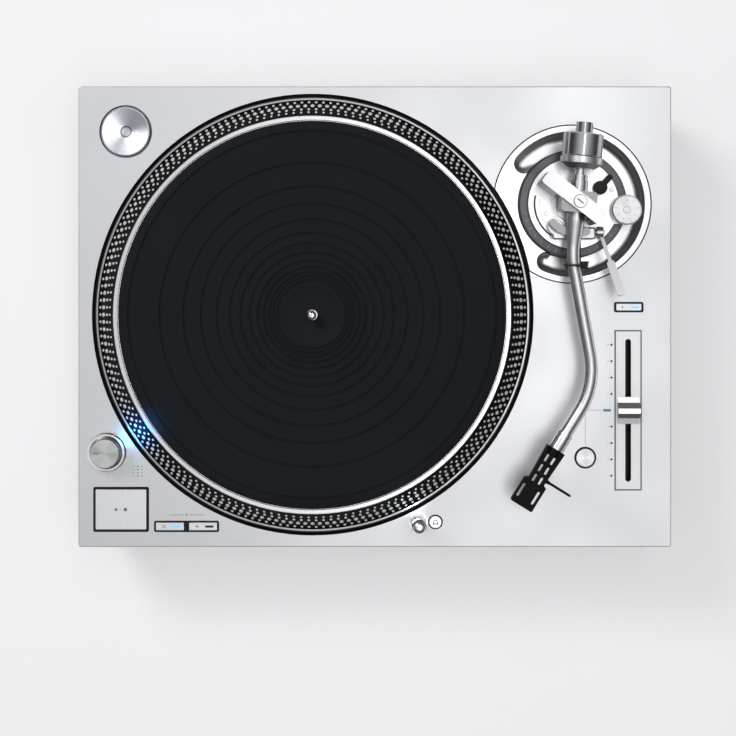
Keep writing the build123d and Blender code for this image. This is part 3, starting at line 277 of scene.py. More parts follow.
def make_materials():
    """One material per slot of the record, and a few for the small pieces."""
    return {
        "silver_panel": satin_metal("silver_panel", SILVER, rough=0.36, metallic=0.75),
        "trim_silver": satin_metal("trim_silver", (0.77, 0.77, 0.78), rough=0.33, grain=2200),
        "cast_alloy": satin_metal("cast_alloy", (0.5, 0.5, 0.51), rough=0.5, grain=900, bump=0.5),
        "satin_silver": satin_metal("satin_silver", (0.78, 0.78, 0.79), rough=0.34),
        "gimbal_grey": satin_metal("gimbal_grey", (0.30, 0.30, 0.31), rough=0.38),
        "platter_alloy": spun_metal("platter_alloy", SILVER, PLATTER, rough=0.24, aniso=0.4),
        "knob_silver": satin_metal("knob_silver", PALE, rough=0.27, grain=3000, bump=0.12),
        "pitch_plate_silver": satin_metal("pitch_plate_silver", (0.80, 0.80, 0.81), rough=0.38,
                                          metallic=0.75),
        "button_silver": drawn_metal("button_silver", PALE, (1.0, 0.02, 0.02), rough=0.34),
        "lit_button": drawn_metal("lit_button", PALE, (0.05, 1.0, 0.05), rough=0.38),
        "adaptor_alloy": spun_metal("adaptor_alloy", (0.56, 0.575, 0.61), ADAPTOR, rough=0.2, aniso=0.9),
        "arm_tube_silver": drawn_metal("arm_tube_silver", PALE, (1.0, 0.03, 1.0), rough=0.26,
                                       marks=900.0, vary=0.05, bump=0.03),
        "weight_steel": drawn_metal("weight_steel", (0.50, 0.51, 0.53), (1.0, 0.03, 1.0), rough=0.17,
                                    marks=500.0, vary=0.3),
        "polished_steel": satin_metal("polished_steel", (0.85, 0.85, 0.86), rough=0.12, bump=0.03),
        "steel_screw": satin_metal("steel_screw", (0.62, 0.62, 0.64), rough=0.3, grain=4000),
        "supply_case": satin_metal("supply_case", (0.4, 0.41, 0.43), rough=0.45),
        "magnet": satin_metal("magnet", (0.12, 0.12, 0.125), rough=0.55, grain=1200),
        "jack_metal": satin_metal("jack_metal", (0.83, 0.66, 0.33), rough=0.22, grain=3000),
        "copper_coils": drawn_metal("copper_coils", (0.72, 0.33, 0.15), (1, 1, 6), rough=0.35),
        "ring_grey": spun_metal("ring_grey", (0.11, 0.11, 0.118), PIVOT, rough=0.36, aniso=0.5),
        "foot_grey": satin_metal("foot_grey", (0.30, 0.30, 0.31), rough=0.4),
        "black_base": moulded("black_base", (0.018, 0.018, 0.019), rough=0.62, grain=1100, bump=0.6),
        "circuit_board": moulded("circuit_board", (0.02, 0.14, 0.06), rough=0.35),
        "mat_rubber": moulded("mat_rubber", (0.0150, 0.0165, 0.0205), rough=0.62, grain=1500, bump=0.3,
                              Specular_IOR_Level=0.12),
        "black_plastic": moulded("black_plastic", DARK, rough=0.42, grain=2400, bump=0.2,
                                 Specular_IOR_Level=0.3),
        "head_black": moulded("head_black", (0.005, 0.005, 0.006), rough=0.4, grain=2600, bump=0.25,
                              Specular_IOR_Level=0.1),
        "inlet_black": moulded("inlet_black", DARK, rough=0.45),
        "foot_rubber": moulded("foot_rubber", (0.015, 0.015, 0.015), rough=0.75, grain=900, bump=0.6),
        "strobe_glow": glowing("strobe_glow", (0.03, 0.25, 1.0), 14.0, middle("strobe_window"), 0.008),
        "lamp_glow": glowing("lamp_glow", (0.85, 0.95, 1.0), 16.0, middle("lamp_lens"), 0.005),
        # for the added pieces, the nodes in SPECIAL and the painted faces
        "bridge_silver": satin_metal("bridge_silver", (0.64, 0.64, 0.65), rough=0.34),
        # painted shade: a darker copy of satin_silver, for the cue housing's shading
        "cue_shaded_silver": satin_metal("cue_shaded_silver", (0.52, 0.52, 0.53), rough=0.3),
        # painted shade: a darker copy of the platter's spun silver, for its lip
        "lip_shaded_silver": spun_metal("lip_shaded_silver", (0.42, 0.42, 0.44), PLATTER, rough=0.3, aniso=0.4),
        "band_black": moulded("band_black", (0.004, 0.004, 0.005), rough=0.35, grain=2500, bump=0.12,
                              Specular_IOR_Level=0.2),
        "dot_silver": moulded("dot_silver", (0.95, 0.95, 0.96), rough=0.3, vary=0.03, bump=0.05),
        "print_dark": moulded("print_dark", (0.035, 0.037, 0.042), rough=0.5),
        "print_grey": moulded("print_grey", (0.22, 0.23, 0.24), rough=0.5),
        "print_pale": moulded("print_pale", (0.50, 0.51, 0.53), rough=0.5),
        "print_blue": moulded("print_blue", (0.12, 0.45, 0.75), rough=0.4),
        "lit_blue": glowing("lit_blue", (0.16, 0.50, 1.0), 1.25, middle("speed_button_33"), 0.02),
        "lit_range": glowing("lit_range", (0.22, 0.55, 1.0), 1.2, middle("range_button"), 0.02),
        "bar_off": moulded("bar_off", (0.03, 0.045, 0.07), rough=0.25),
        "jack_red": moulded("jack_red", (0.5, 0.02, 0.02), rough=0.35),
        "jack_white": moulded("jack_white", (0.75, 0.75, 0.73), rough=0.35),
        "reset_spun": spun_metal("reset_spun", (0.47, 0.47, 0.48), RESET, rough=0.26, aniso=0.7),
        "lamp_button_spun": spun_metal("lamp_button_spun", PALE, LAMP_BUTTON, rough=0.3, aniso=0.6),
        "knob_spun": spun_metal("knob_spun", (0.60, 0.60, 0.59), STROBE, rough=0.26, aniso=0.85),
        "antiskate_spun": spun_metal("antiskate_spun", (0.70, 0.70, 0.71), ANTISKATE, rough=0.33),
    }


MATERIALS = make_materials()
SPECIAL = {"reset_button": "reset_spun", "lamp_button": "lamp_button_spun",
           "power_knob": "knob_spun", "antiskate_knob": "antiskate_spun",
           "gimbal_bridge": "bridge_silver", "cue_lever": "bridge_silver",
           "cue_housing": "cue_shaded_silver", "lift_platform": "gimbal_grey"}


def dress_nodes():
    """Give every CAD node the material of its slot, or its own where it has a special one."""
    slots = {part["node"]: part["material_slot"] for part in frame["record"]["subparts"]}
    for name, piece in NODES.items():
        piece.data.materials.clear()
        piece.data.materials.append(MATERIALS[SPECIAL.get(name, slots[name])])
        for polygon in piece.data.polygons:
            polygon.material_index = 0


def paint_faces(node, material, chosen):
    """Give the faces of a CAD node for which chosen(face) holds another material."""
    mesh = NODES[node].data
    mesh.materials.append(MATERIALS[material])
    for face in mesh.polygons:
        if chosen(face):
            face.material_index = len(mesh.materials) - 1


def paint_platter_rim():
    """The sloping edge that carries the dots is black, and the lip below it is painted a darker silver, a painted
    shade.
    """
    band_start, lip_start, band_end = 4.4 * MM, 16 * MM, 17.4 * MM      # out from the mat's edge

    def out(face):
        return (face.center - PLATTER).xy.length - MAT_R

    def band(face):
        return band_start < out(face) < band_end and 0.3 < face.normal.z < 0.9

    def lip(face):
        return not band(face) and out(face) > lip_start and face.normal.z > 0.3

    paint_faces("platter", "band_black", band)
    paint_faces("platter", "lip_shaded_silver", lip)


def darken_deck():
    """The deck below the panel and the walls of the panel's openings are painted black: painted shade in the gaps
    round the parts.
    """
    low, high = CAD_BOX
    edge = 3 * MM           # walls this near the outside belong to the panel's own edge

    def opening(face):
        x, y = face.center.xy
        inside = low.x + edge < x < high.x - edge and low.y + edge < y < high.y - edge
        return inside and abs(face.normal.z) < 0.1

    # painted shade: the deck's upward faces and the openings' walls are painted black
    paint_faces("cabinet", "black_base", lambda face: face.normal.z > 0.9)
    paint_faces("top_panel", "black_base", opening)


def darken_jack_plate():
    """Only the jacks are gold; the plate that they sit in is black."""
    plate_thick = 2.1 * MM
    plate_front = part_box("rear_terminals")[0].y + plate_thick
    paint_faces("rear_terminals", "inlet_black", lambda face: face.center.y < plate_front)


def darken_bridge():
    """The walls under the bridge are painted dark grey, a painted shade, and only its top keeps the bright silver.
    """
    shaded_walls_end = PIVOT.z + 12 * MM
    # painted shade: the bridge's lower walls get the dark grey material
    paint_faces("gimbal_bridge", "gimbal_grey", lambda face: face.center.z < shaded_walls_end)


# ---------------------------------------------------------------- mesh building
SHARP_ANGLE = radians(32)
ARC_STEP = 3                # degrees


class Build:
    """Collects the corners and faces of one mesh made of many separate closed shapes."""

    def __init__(self):
        self.vertices = []
        self.faces = []

    def add(self, vertices, faces):
        start = len(self.vertices)
        self.vertices += [Vector(v) for v in vertices]
        self.faces += [[start + i for i in face] for face in faces]

    def prism(self, outline, low, high, place=Matrix.Identity(4)):
        """A closed outline raised from low to high."""
        count = len(outline)
        vertices = [place @ Vector((*point, z)) for z in (low, high) for point in outline]
        faces = [[i, (i + 1) % count, count + (i + 1) % count, count + i] for i in range(count)]
        faces.append(list(range(count - 1, -1, -1)))
        faces.append([count + i for i in range(count)])
        self.add(vertices, faces)

    def flat(self, outline, z):
        """A printed mark on a level surface."""
        self.prism(outline, z - SINK, z + PRINT)

    def lathe(self, profile, segments, place):
        """A closed profile of (radius, height) turned all the way round."""
        count = len(profile)
        vertices = []
        for step in range(segments):
            a = tau * step / segments
            vertices += [place @ Vector((r * cos(a), r * sin(a), z)) for r, z in profile]
        faces = []
        for step in range(segments):
            near, far = step * count, ((step + 1) % segments) * count
            for i in range(count):
                j = (i + 1) % count
                faces.append([near + i, far + i, far + j, near + j])
        self.add(vertices, faces)

    def ring(self, inner, outer, segments, place):
        """A printed ring."""
        self.lathe([(inner, -SINK), (outer, -SINK), (outer, PRINT), (inner, PRINT)], segments, place)

    def arc(self, inner, outer, start, end, place):
        """A printed strip along part of a circle, closed at both ends; angles in degrees."""
        steps = (end - start) // ARC_STEP
        vertices = []
        for step in range(steps + 1):
            a = radians(start + (end - start) * step / steps)
            vertices += [place @ Vector((r * cos(a), r * sin(a), z))
                         for r, z in ((inner, -SINK), (outer, -SINK), (outer, PRINT), (inner, PRINT))]
        faces = [[3, 2, 1, 0], [4 * steps + i for i in range(4)]]
        for step in range(steps):
            near, far = 4 * step, 4 * step + 4
            faces += [[near + i, near + (i + 1) % 4, far + (i + 1) % 4, far + i] for i in range(4)]
        self.add(vertices, faces)

    def dome(self, place, radius, height, sides, root):
        """A low round button on a surface, sunk into it by root."""
        levels = ((-root, 1.0), (height * 0.6, 0.94), (height, 0.72))
        vertices = [place @ Vector((*point, z)) for z, k in levels for point in circle(radius * k, sides)]
        faces = [[a * sides + i, a * sides + (i + 1) % sides, (a + 1) * sides + (i + 1) % sides,
                  (a + 1) * sides + i] for a in range(2) for i in range(sides)]
        faces.append(list(range(sides - 1, -1, -1)))
        faces.append([2 * sides + i for i in range(sides)])
        self.add(vertices, faces)

    def mesh(self, name):
        mesh = bpy.data.meshes.new(name)
        mesh.from_pydata([tuple(v) for v in self.vertices], [], self.faces)
        return mesh

    def piece(self, name, material, body, slot=None, smooth=True):
        """An object that rides on a body; smooth shading stops at edges sharper than SHARP_ANGLE."""
        mesh = self.mesh(name)
        mesh.update()
        piece = bpy.data.objects.new(name, mesh)
        bpy.context.scene.collection.objects.link(piece)
        mesh.materials.append(MATERIALS[material])
        if smooth:
            mesh.shade_smooth()
            mesh.set_sharp_from_angle(angle=SHARP_ANGLE)
        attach(piece, body)
        return piece


def circle(radius, sides, centre=(0, 0)):
    """Outline of a circle."""
    x, y = centre
    return [(x + radius * cos(tau * i / sides), y + radius * sin(tau * i / sides)) for i in range(sides)]


def bar(centre, width, height):
    """Outline of a rectangle."""
    x, y = centre
    return [(x - width / 2, y - height / 2), (x + width / 2, y - height / 2),
            (x + width / 2, y + height / 2), (x - width / 2, y + height / 2)]


def rounded(width, height, radius, centre, steps=5):
    """Outline of a rectangle with round corners, each in a number of steps."""
    points = []
    for corner, (sx, sy) in enumerate(((1, 1), (-1, 1), (-1, -1), (1, -1))):
        cx, cy = centre[0] + sx * (width / 2 - radius), centre[1] + sy * (height / 2 - radius)
        for step in range(steps + 1):
            a = corner * pi / 2 + step * pi / 2 / steps
            points.append((cx + radius * cos(a), cy + radius * sin(a)))
    return points


def turned(angle, axis="Z"):
    """A turn about an axis, in degrees."""
    return Matrix.Rotation(radians(angle), 4, axis)


def upright_at(x, y, z):
    """A frame at a point, with its Z axis up."""
    return Matrix.Translation((x, y, z))


def along(origin, direction, up=(0, 0, 1)):
    """A frame whose Z axis points along a direction, and whose X axis is square to up."""
    z = Vector(direction).normalized()
    x = Vector(up).cross(z).normalized()
    y = z.cross(x)
    return Matrix.Translation(Vector(origin)) @ Matrix((x, y, z)).transposed().to_4x4()


# ---------------------------------------------------------------- platter
# rows of dots: radius of the row in mm, number of dots, radius of a dot in mm
DOT_ROWS = ((162.0, 186, 1.12), (159.1, 180, 1.65), (156.2, 174, 1.15), (153.7, 170, 0.98))
CONE_SLOPE = 11.2 / 12.5    # rise of the sloping edge for its run
CONE_FOOT_R = MAT_R + 16.4 * MM
CONE_FOOT_Z = MAT_HIGH.z - 13.3 * MM
GROOVES = (26, 29, 32, 36, 41, 47, 54, 62, 72, 84, 97, 115, 139)      # radii in the mat, mm


def platter_dots():
    """Rows of raised silver dots round the sloping edge."""
    build = Build()
    for radius, count, size in DOT_ROWS:
        z = CONE_FOOT_Z + CONE_SLOPE * (CONE_FOOT_R - radius * MM)
        for i in range(count):
            a = tau * i / count
            normal = (CONE_SLOPE * cos(a), CONE_SLOPE * sin(a), 1.0)
            spot = (PLATTER.x + radius * MM * cos(a), PLATTER.y + radius * MM * sin(a), z)
            place = along(spot, normal, (-sin(a), cos(a), 0))
            build.dome(place, size * MM, height=0.45 * MM, sides=8, root=0.1 * MM)
    build.piece("platter_dots", "dot_silver", "platter", "platter_alloy")


def grooved_mat():
    """The rubber mat, with its moulded rings and soft edge."""
    thick = (MAT_HIGH.z - MAT_LOW.z) / MM
    hole, edge, label = 4.0, MAT_R / MM, 22.0
    groove_bottom, groove_top = 0.5, 0.9        # half widths
    groove_depth, label_depth = 0.8, 0.35
    profile = [(hole, 0.0), (edge, 0.0), (edge, thick - 0.9), (edge - 0.3, thick - 0.3),
               (edge - 0.9, thick)]
    for radius in reversed(GROOVES):
        profile += [(radius + groove_top, thick), (radius + groove_bottom, thick - groove_depth),
                    (radius - groove_bottom, thick - groove_depth), (radius - groove_top, thick)]
    profile += [(label, thick), (label - 1.0, thick - label_depth), (hole + 0.4, thick - label_depth),
                (hole, thick - 2 * label_depth)]
    build = Build()
    build.lathe([(r * MM, z * MM) for r, z in profile], 256, upright_at(PLATTER.x, PLATTER.y, MAT_LOW.z))
    mat = build.piece("rubber_mat", "mat_rubber", "platter", "mat_rubber")
    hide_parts("platter_mat")


# ---------------------------------------------------------------- prints on the panel
PITCH_SCALE_X = PITCH.x - 12.7 * MM
PITCH_SCALE_STEP = 12.5 * MM
HAIRLINE = 0.35 * MM


def pitch_prints():
    """Scale beside the pitch slider, and the line from its middle to the reset button."""
    marks, dashes, centre = Build(), Build(), Build()
    x = PITCH_SCALE_X
    for step in (-4, -3, -2, -1, 1, 2, 3, 4):
        y = PITCH.y + step * PITCH_SCALE_STEP
        marks.flat(circle(0.85 * MM, 14, (x, y)), PANEL_TOP)
        dashes.flat(bar((x - 2.6 * MM, y), 1.6 * MM, 0.5 * MM), PANEL_TOP)
    marks.piece("pitch_dots", "print_dark", "chassis", smooth=False)
    centre.flat(rounded(5.9 * MM, 2.0 * MM, 0.6 * MM, (x - 3.4 * MM, PITCH.y)), PANEL_TOP)
    centre.piece("pitch_centre_mark", "print_blue", "chassis", smooth=False)
    left, right = RESET.x, x - 7.0 * MM
    bottom = RESET.y + 8.9 * MM
    dashes.flat(bar(((left + right) / 2, PITCH.y), right - left, HAIRLINE), PANEL_TOP)
    dashes.flat(bar((left, (bottom + PITCH.y) / 2), HAIRLINE, PITCH.y - bottom), PANEL_TOP)
    dashes.piece("pitch_lines", "print_pale", "chassis", smooth=False)


def pitch_plate_line():
    """A grey line round the edge of the pitch plate."""
    edge = Build()
    plate_low, plate_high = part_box("pitch_plate")
    size, z = plate_high - plate_low, plate_high.z
    line = 1.0 * MM
    for side in (-1, 1):
        edge.flat(bar((PITCH.x + side * (size.x - line) / 2, PITCH.y), line, size.y), z)
        edge.flat(bar((PITCH.x, PITCH.y + side * (size.y - line) / 2), size.x - 2 * line, line), z)
    edge.piece("pitch_plate_line", "print_grey", "chassis", smooth=False)


def strobe_legend():
    """Small dot legend beside the strobe light."""
    build = Build()
    x0, y0 = STROBE.x + 19.4 * MM, STROBE.y - 11.4 * MM
    for row in range(4):
        for column in range(3):
            size = (0.75 if column == 1 else 0.55) * MM
            spot = (x0 + column * 3.2 * MM, y0 - row * 2.5 * MM)
            build.flat(rounded(1.6 * size, 1.1 * size, 0.3 * size, spot, steps=3), PANEL_TOP)
    build.piece("strobe_legend", "print_grey", "chassis", smooth=False)


def speed_prints():
    """Dot and line over the speed buttons, and lit bars on the buttons."""
    left, right = middle("speed_button_33"), middle("speed_button_45")
    build = Build()
    y = left.y + 8.8 * MM
    centre_x = (left.x + right.x) / 2
    build.flat(circle(0.7 * MM, 14, (centre_x, y)), PANEL_TOP)
    for side in (-1, 1):
        build.flat(bar((centre_x + side * 7.6 * MM, y), 11.0 * MM, HAIRLINE), PANEL_TOP)
    build.piece("speed_marks", "print_grey", "chassis", smooth=False)
    for name, material in (("speed_button_33", "lit_blue"), ("speed_button_45", "bar_off"),
                           ("range_button", "lit_range")):
        centre = middle(name)
        build = Build()
        build.flat(rounded(6.4 * MM, 1.7 * MM, 0.5 * MM, (centre.x + 4.8 * MM, centre.y)), top_of(name))
        build.piece(name + "_bar", material, name, "lit_button", smooth=False)


def digits(words, size, place):
    """Corners and faces of raised digits on a surface."""
    curve = bpy.data.curves.new("digits", "FONT")
    curve.body = words
    curve.size = size
    curve.extrude = PRINT / 2
    curve.resolution_u = 3
    curve.align_x = "CENTER"
    curve.align_y = "CENTER"
    holder = bpy.data.objects.new("digits", curve)
    bpy.context.scene.collection.objects.link(holder)
    bpy.context.view_layer.update()
    mesh = bpy.data.meshes.new_from_object(holder)
    bpy.data.objects.remove(holder)
    mesh.transform(place)
    return [v.co.copy() for v in mesh.vertices], [list(p.vertices) for p in mesh.polygons]


def number_piece(name, labels, material, body):
    """Several numbers as one piece; labels are (text, size, place)."""
    build = Build()
    for words, size, place in labels:
        build.add(*digits(words, size, place))
    build.piece(name, material, body, smooth=False)


def button_numbers():
    """The speeds on their buttons, and a plus sign on the range button."""
    for node, words in (("speed_button_33", "33"), ("speed_button_45", "45")):
        centre = middle(node)
        place = upright_at(centre.x - 4.6 * MM, centre.y, top_of(node) + SINK)
        number_piece(node + "_digits", [(words, 3.0 * MM, place)], "print_dark", node)
    centre, z = middle("range_button"), top_of("range_button")
    build = Build()
    for width, height in ((2.0 * MM, 0.4 * MM), (0.4 * MM, 2.0 * MM)):
        build.flat(bar((centre.x - 5.0 * MM, centre.y), width, height), z)
    build.piece("range_mark", "print_grey", "range_button", smooth=False)


def start_marks():
    """A run sign and a stop sign in the middle of the large button."""
    centre, z = middle("start_button"), top_of("start_button")
    build = Build()
    apart, square = 3.4 * MM, 2.4 * MM
    x, y = centre.x - apart, centre.y
    build.flat([(x - 1.3 * MM, y - 1.4 * MM), (x + 1.5 * MM, y), (x - 1.3 * MM, y + 1.4 * MM)], z)
    build.flat(circle(0.35 * MM, 10, (centre.x, y)), z)
    build.flat(bar((centre.x + apart, y), square, square), z)
    build.piece("start_marks", "print_grey", "start_button", smooth=False)


def lamp_button_mark():
    """A ring on two short legs on the lamp's push button."""
    z = top_of("lamp_button")
    build = Build()
    build.ring(1.3 * MM, 1.75 * MM, 28, upright_at(LAMP_BUTTON.x, LAMP_BUTTON.y, z))
    for side in (-1, 1):
        leg = (LAMP_BUTTON.x + side * 1.5 * MM, LAMP_BUTTON.y - 1.4 * MM)
        build.flat(bar(leg, 0.7 * MM, 1.3 * MM), z)
    build.piece("lamp_button_mark", "print_dark", "lamp_button", smooth=False)


# ---------------------------------------------------------------- knurls and scales
KNURL_ROOT = 0.15 * MM      # how far a rib starts below the knob's surface


def knurl(name, place, radius, low, high, count, depth, material, body, slot):
    """Fine ribs round a knob, each half as wide as their spacing and narrower at its crest."""
    build = Build()
    foot = tau * radius / count / 4
    crest = foot * 0.35
    height = depth + KNURL_ROOT
    outline = [(0, -foot), (height, -crest), (height, crest), (0, foot)]
    for i in range(count):
        turn = place @ turned(360 * i / count) @ Matrix.Translation((radius - KNURL_ROOT, 0, 0))
        build.prism(outline, low, high, turn)
    build.piece(name, material, body, slot, smooth=False)


def height_ring_marks():
    """Ticks, numbers and grip of the ring that sets the arm's height."""
    low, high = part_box("height_ring")
    place = upright_at(PIVOT.x, PIVOT.y, high.z)
    build = Build()
    for angle in range(190, 351, 10):
        build.prism(bar((37.6 * MM, 0), 2.2 * MM, 0.3 * MM), -SINK, PRINT, place @ turned(angle))
    build.piece("height_ring_ticks", "print_pale", "height_ring", smooth=False)
    labels = []
    for index, angle in enumerate(range(200, 345, 20)):
        spot = place @ turned(angle) @ Matrix.Translation((35.2 * MM, 0, PRINT))
        labels.append((str(index), 1.7 * MM, spot @ turned(90)))
    number_piece("height_ring_digits", labels, "print_pale", "height_ring")
    knurl("height_ring_knurl", upright_at(PIVOT.x, PIVOT.y, low.z), 40.9 * MM, 2.4 * MM,
          high.z - low.z - 1.2 * MM, 150, 0.3 * MM, "ring_grey", "height_ring", "ring_grey")


def antiskate_marks():
    """Numbers, dots, inner ring and grip of the anti-skate knob."""
    low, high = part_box("antiskate_knob")
    place = upright_at(ANTISKATE.x, ANTISKATE.y, high.z)
    labels = []
    build = Build()
    for index in range(8):
        turn = place @ turned(90 - index * 40)
        spot = turn @ Matrix.Translation((7.2 * MM, 0, PRINT / 2))
        labels.append((str(index), 2.0 * MM, spot @ turned(-90)))
        build.prism(circle(0.28 * MM, 10, (9.4 * MM, 0)), -SINK, PRINT, turn)
    number_piece("antiskate_digits", labels, "print_grey", "antiskate_knob")
    build.ring(2.4 * MM, 2.75 * MM, 28, place)
    build.piece("antiskate_dots", "print_grey", "antiskate_knob", smooth=False)
    knurl("antiskate_knurl", upright_at(ANTISKATE.x, ANTISKATE.y, low.z), 11.15 * MM, 3.0 * MM,
          high.z - low.z - 1.0 * MM, 64, 0.3 * MM, "satin_silver", "antiskate_knob", "satin_silver")


DRUM_R = 15.75 * MM         # the tracking-force dial's drum
DRUM_BACK = 31.0 * MM       # its middle, behind the pivot
DRUM_TICKS, DRUM_NUMBERS = 40, 8


def force_dial_marks():
    """Numbers and ticks on the drum of the tracking-force dial."""
    axis = along(PIVOT + ARM_BACK * DRUM_BACK, ARM_BACK)
    labels = []
    build = Build()
    for i in range(DRUM_TICKS):
        length = 1.6 if i % 5 == 0 else 0.9
        face = (axis @ turned(360 * i / DRUM_TICKS) @ Matrix.Translation((DRUM_R, 0, -1.4 * MM))
                @ turned(90, "Y"))
        build.prism(bar((0, 0), length * MM, 0.22 * MM), -SINK, PRINT, face)
    for i in range(DRUM_NUMBERS):
        face = (axis @ turned(360 * i / DRUM_NUMBERS) @ Matrix.Translation((DRUM_R + SINK, 0, 0.7 * MM))
                @ turned(90, "Y") @ turned(90))
        labels.append((str(i % 4), 1.8 * MM, face))
    build.piece("force_ticks", "print_dark", "force_dial", smooth=False)
    number_piece("force_digits", labels, "print_dark", "force_dial")


def knurls():
    """Ribs on the power knob and the feet."""
    knurl("power_knob_knurl", upright_at(STROBE.x, STROBE.y, top_of("power_knob")), 11.2 * MM, -1.5 * MM,
          -0.7 * MM, 72, 0.25 * MM, "knob_silver", "power_knob", "knob_silver")
    for corner in ("front_left", "front_right", "rear_left", "rear_right"):
        centre = middle("foot_" + corner)
        knurl("foot_grip_" + corner, upright_at(centre.x, centre.y, 0), 27.6 * MM, 15.0 * MM, 19.2 * MM,
              80, 0.5 * MM, "foot_grey", "foot_" + corner, "foot_grey")


def power_knob_mark():
    """The pointer line on the power knob."""
    build = Build()
    build.flat(bar((STROBE.x - 6.6 * MM, STROBE.y), 4.0 * MM, 0.7 * MM), top_of("power_knob"))
    build.piece("power_knob_line", "print_grey", "power_knob", smooth=False)


# ---------------------------------------------------------------- small hardware
BRIDGE_TURN = 142.4         # degrees, the bridge's lie across the arm base
BRIDGE_CROWN = 1.6 * MM     # how far the pivot screw stands above the bridge's face
BASE_SCREWS = ((118, 24.5), (200, 22.0), (20, 30.5))       # degrees and mm from the arm's pivot


def screw(build, place, radius, height):
    """A cheese-head screw with a cross recess."""
    bore = radius * 0.34
    build.lathe([(bore, 0), (radius, 0), (radius, height * 0.8), (radius * 0.86, height), (bore, height)],
                24, place)
    wing_x, wing_y = radius * 0.36, radius * 0.21
    wing = [(radius * 0.02, 0), (wing_x, -wing_y), (radius * 0.42, 0), (wing_x, wing_y)]
    for quarter in range(4):
        build.prism(wing, 0, height * 0.8, place @ turned(45 + 90 * quarter))


def arm_base_marks():
    """Dark arcs on the arm base as painted shade of a curved slot, a dark ring and bar round the bridge's pivot
    screw as painted shade, and dark lines at the height ring's edges as painted shade.
    """
    lines, screw_shade, edges = Build(), Build(), Build()
    base = upright_at(PIVOT.x, PIVOT.y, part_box("gimbal_bridge")[0].z)
    # painted shade: dark arcs where a curved slot in the arm base lies in shade
    lines.arc(28.9 * MM, 30.1 * MM, 168, 236, base)
    lines.arc(26.0 * MM, 26.3 * MM, 172, 214, base)
    lines.piece("arm_base_slot_shade", "print_dark", "arm_mount", smooth=False)
    face = upright_at(PIVOT.x, PIVOT.y, top_of("gimbal_bridge") - BRIDGE_CROWN) @ turned(BRIDGE_TURN)
    # painted shade: a dark ring at the foot of the pivot screw and a dark bar across it
    screw_shade.ring(4.55 * MM, 5.0 * MM, 40, face)
    screw_shade.prism(bar((0, 0), 5.8 * MM, 0.7 * MM), -SINK, 0.9 * MM, face)
    screw_shade.piece("bridge_screw_shade", "print_dark", "arm_mount", smooth=False)
    ring = upright_at(PIVOT.x, PIVOT.y, top_of("height_ring"))
    # painted shade: dark lines along the height ring's inner and outer edges
    for inner in (34.6, 40.1):
        edges.ring(inner * MM, (inner + 0.6) * MM, 96, ring)
    edges.piece("height_ring_edge_shade", "print_dark", "height_ring", smooth=False)


def arm_base_screws():
    """Three screws on the arm base; the bridge's foot gives the height of its surface."""
    plate_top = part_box("gimbal_bridge")[0].z
    build = Build()
    for angle, radius in BASE_SCREWS:
        x, y = radius * MM * cos(radians(angle)), radius * MM * sin(radians(angle))
        screw(build, upright_at(PIVOT.x + x, PIVOT.y + y, plate_top), 1.7 * MM, 0.8 * MM)
    build.piece("arm_base_screws", "steel_screw", "arm_mount", "steel_screw")


def rear_details():
    """Coloured rings in the phono jacks, placed from the ground nut beside them."""
    plate_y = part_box("rear_terminals")[0].y
    nut = middle("ground_nut")
    for name, offset, material in (("jack_ring_left", -45.0, "jack_white"),
                                   ("jack_ring_right", -23.0, "jack_red")):
        build = Build()
        place = along((nut.x + offset * MM, plate_y + 2.0 * MM, nut.z), (0, 1, 0))
        profile = ((4.3, 1.4), (6.0, 1.4), (5.8, 2.3), (4.3, 2.3))
        build.lathe([(r * MM, z * MM) for r, z in profile], 32, place)
        build.piece(name, material, "chassis")


# ---------------------------------------------------------------- lights
# name, node it starts from, mm toward the platter, mm up, colour, watts, cone in degrees, softness in mm
SPOTS = (
    ("strobe_light", "strobe_window", 9.0, 40.0, (0.03, 0.32, 1.0), 0.12, 60, 3.0),
    ("strobe_wash", "strobe_window", 2.0, 22.0, (0.10, 0.45, 1.0), 0.009, 110, 4.0),
    ("stylus_light", "lamp_lens", 6.0, 4.0, (0.85, 0.95, 1.0), 0.010, 80, 1.0),
)


def add_light(name, kind, place, aim, energy, **settings):
    """A light at a place, shining along aim."""
    data = bpy.data.lights.new(name, kind)
    data.energy = energy
    for key, value in settings.items():
        setattr(data, key, value)
    light = bpy.data.objects.new(name, data)
    light.location = place
    light.rotation_euler = aim.to_track_quat("-Z", "Y").to_euler()
    bpy.context.scene.collection.objects.link(light)


def add_spots():
    """The strobe lamp's blue light and the stylus lamp's white light, leaning toward the platter."""
    for name, node, shift, height, colour, energy, cone, soft in SPOTS:
        start = middle(node)
        way = Vector((PLATTER.x - start.x, PLATTER.y - start.y, 0)).normalized()
        add_light(name, "SPOT", start + way * shift * MM + Vector((0, 0, height * MM)),
                  way * 0.4 + Vector((0, 0, -1)), energy, color=colour, spot_size=radians(cone),
                  spot_blend=1.0, shadow_soft_size=soft * MM)


def add_panel_light(name, place, target, energy, size, size_y):
    """A rectangular soft light."""
    add_light(name, "AREA", place, Vector(target) - Vector(place), energy, shape="RECTANGLE", size=size,
              size_y=size_y)


# ---------------------------------------------------------------- studio
SKY_SPREAD = (0.95, 1.55, 0.0)     # how fast the ceiling's light falls off to the sides and to the ends
FLOOR_REACH = 80.0                 # metres along each side, so that its edge is far off in low views
FLOOR_THICK = 0.02


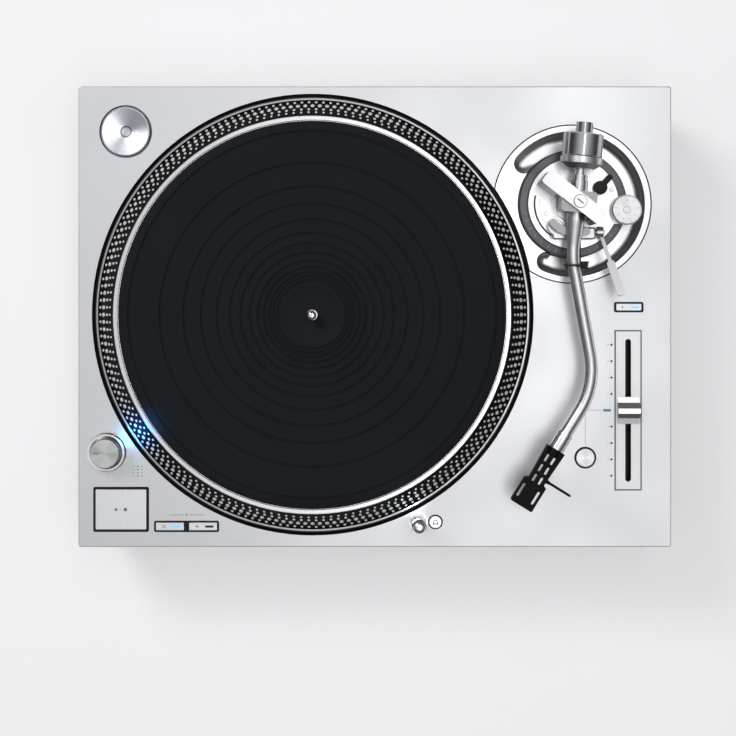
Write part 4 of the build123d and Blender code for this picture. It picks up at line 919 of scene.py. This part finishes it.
def add_sky():
    """A bright ceiling that falls away to a dark horizon, so that edges and hollows show."""
    world = bpy.data.worlds.new("studio")
    world.use_nodes = True
    tree = world.node_tree
    place = tree.nodes.new("ShaderNodeTexCoord")
    spread = tree.nodes.new("ShaderNodeVectorMath")
    spread.operation = "MULTIPLY"
    tree.links.new(place.outputs["Generated"], spread.inputs[0])
    spread.inputs[1].default_value = SKY_SPREAD
    away = tree.nodes.new("ShaderNodeVectorMath")
    away.operation = "LENGTH"
    tree.links.new(spread.outputs[0], away.inputs[0])
    fade = tree.nodes.new("ShaderNodeMapRange")
    fade.interpolation_type = "SMOOTHSTEP"
    tree.links.new(away.outputs["Value"], fade.inputs["Value"])
    for name, value in (("From Min", 0.12), ("From Max", 1.0), ("To Min", 0.84), ("To Max", 0.06)):
        fade.inputs[name].default_value = value
    back = tree.nodes["Background"]
    back.inputs["Color"].default_value = (0.96, 0.98, 1.0, 1.0)
    tree.links.new(fade.outputs["Result"], back.inputs["Strength"])
    bpy.context.scene.world = world


def add_studio():
    """Floor, ceiling light and two soft lights, one from behind on the left and one overhead."""
    build = Build()
    build.prism(bar((0, 0), FLOOR_REACH, FLOOR_REACH), -FLOOR_THICK, 0.0)
    floor = bpy.data.objects.new("floor", build.mesh("floor"))
    bpy.context.scene.collection.objects.link(floor)
    s = Shader("floor_paper")
    slow = s.noise(1.5)
    s.link(s.mix(slow, (0.80, 0.80, 0.805), (0.83, 0.83, 0.835)), s.shader.inputs["Base Color"])
    s.link(s.mix(slow, (0.98, 0.98, 1.0), (1.0, 1.0, 1.0)), s.shader.inputs["Emission Color"])
    paper = s.finish(Roughness=0.8, Specular_IOR_Level=0.1, Emission_Strength=0.44)
    floor.data.materials.append(paper)
    add_sky()
    add_panel_light("key", (-1.75, 1.75, 2.8), (0, 0, 0.1), energy=36, size=1.1, size_y=1.1)
    add_panel_light("overhead", (0.34, 0.1, 2.9), (0.34, 0, 0.1), energy=9, size=0.4, size_y=2.6)
    bpy.context.scene.view_settings.view_transform = "Standard"


add_camera()
dress_nodes()
paint_platter_rim()
darken_deck()
darken_bridge()
darken_jack_plate()
platter_dots()
grooved_mat()
pitch_prints()
pitch_plate_line()
strobe_legend()
speed_prints()
button_numbers()
start_marks()
lamp_button_mark()
height_ring_marks()
antiskate_marks()
force_dial_marks()
knurls()
power_knob_mark()
arm_base_marks()
arm_base_screws()
rear_details()
add_spots()
add_studio()
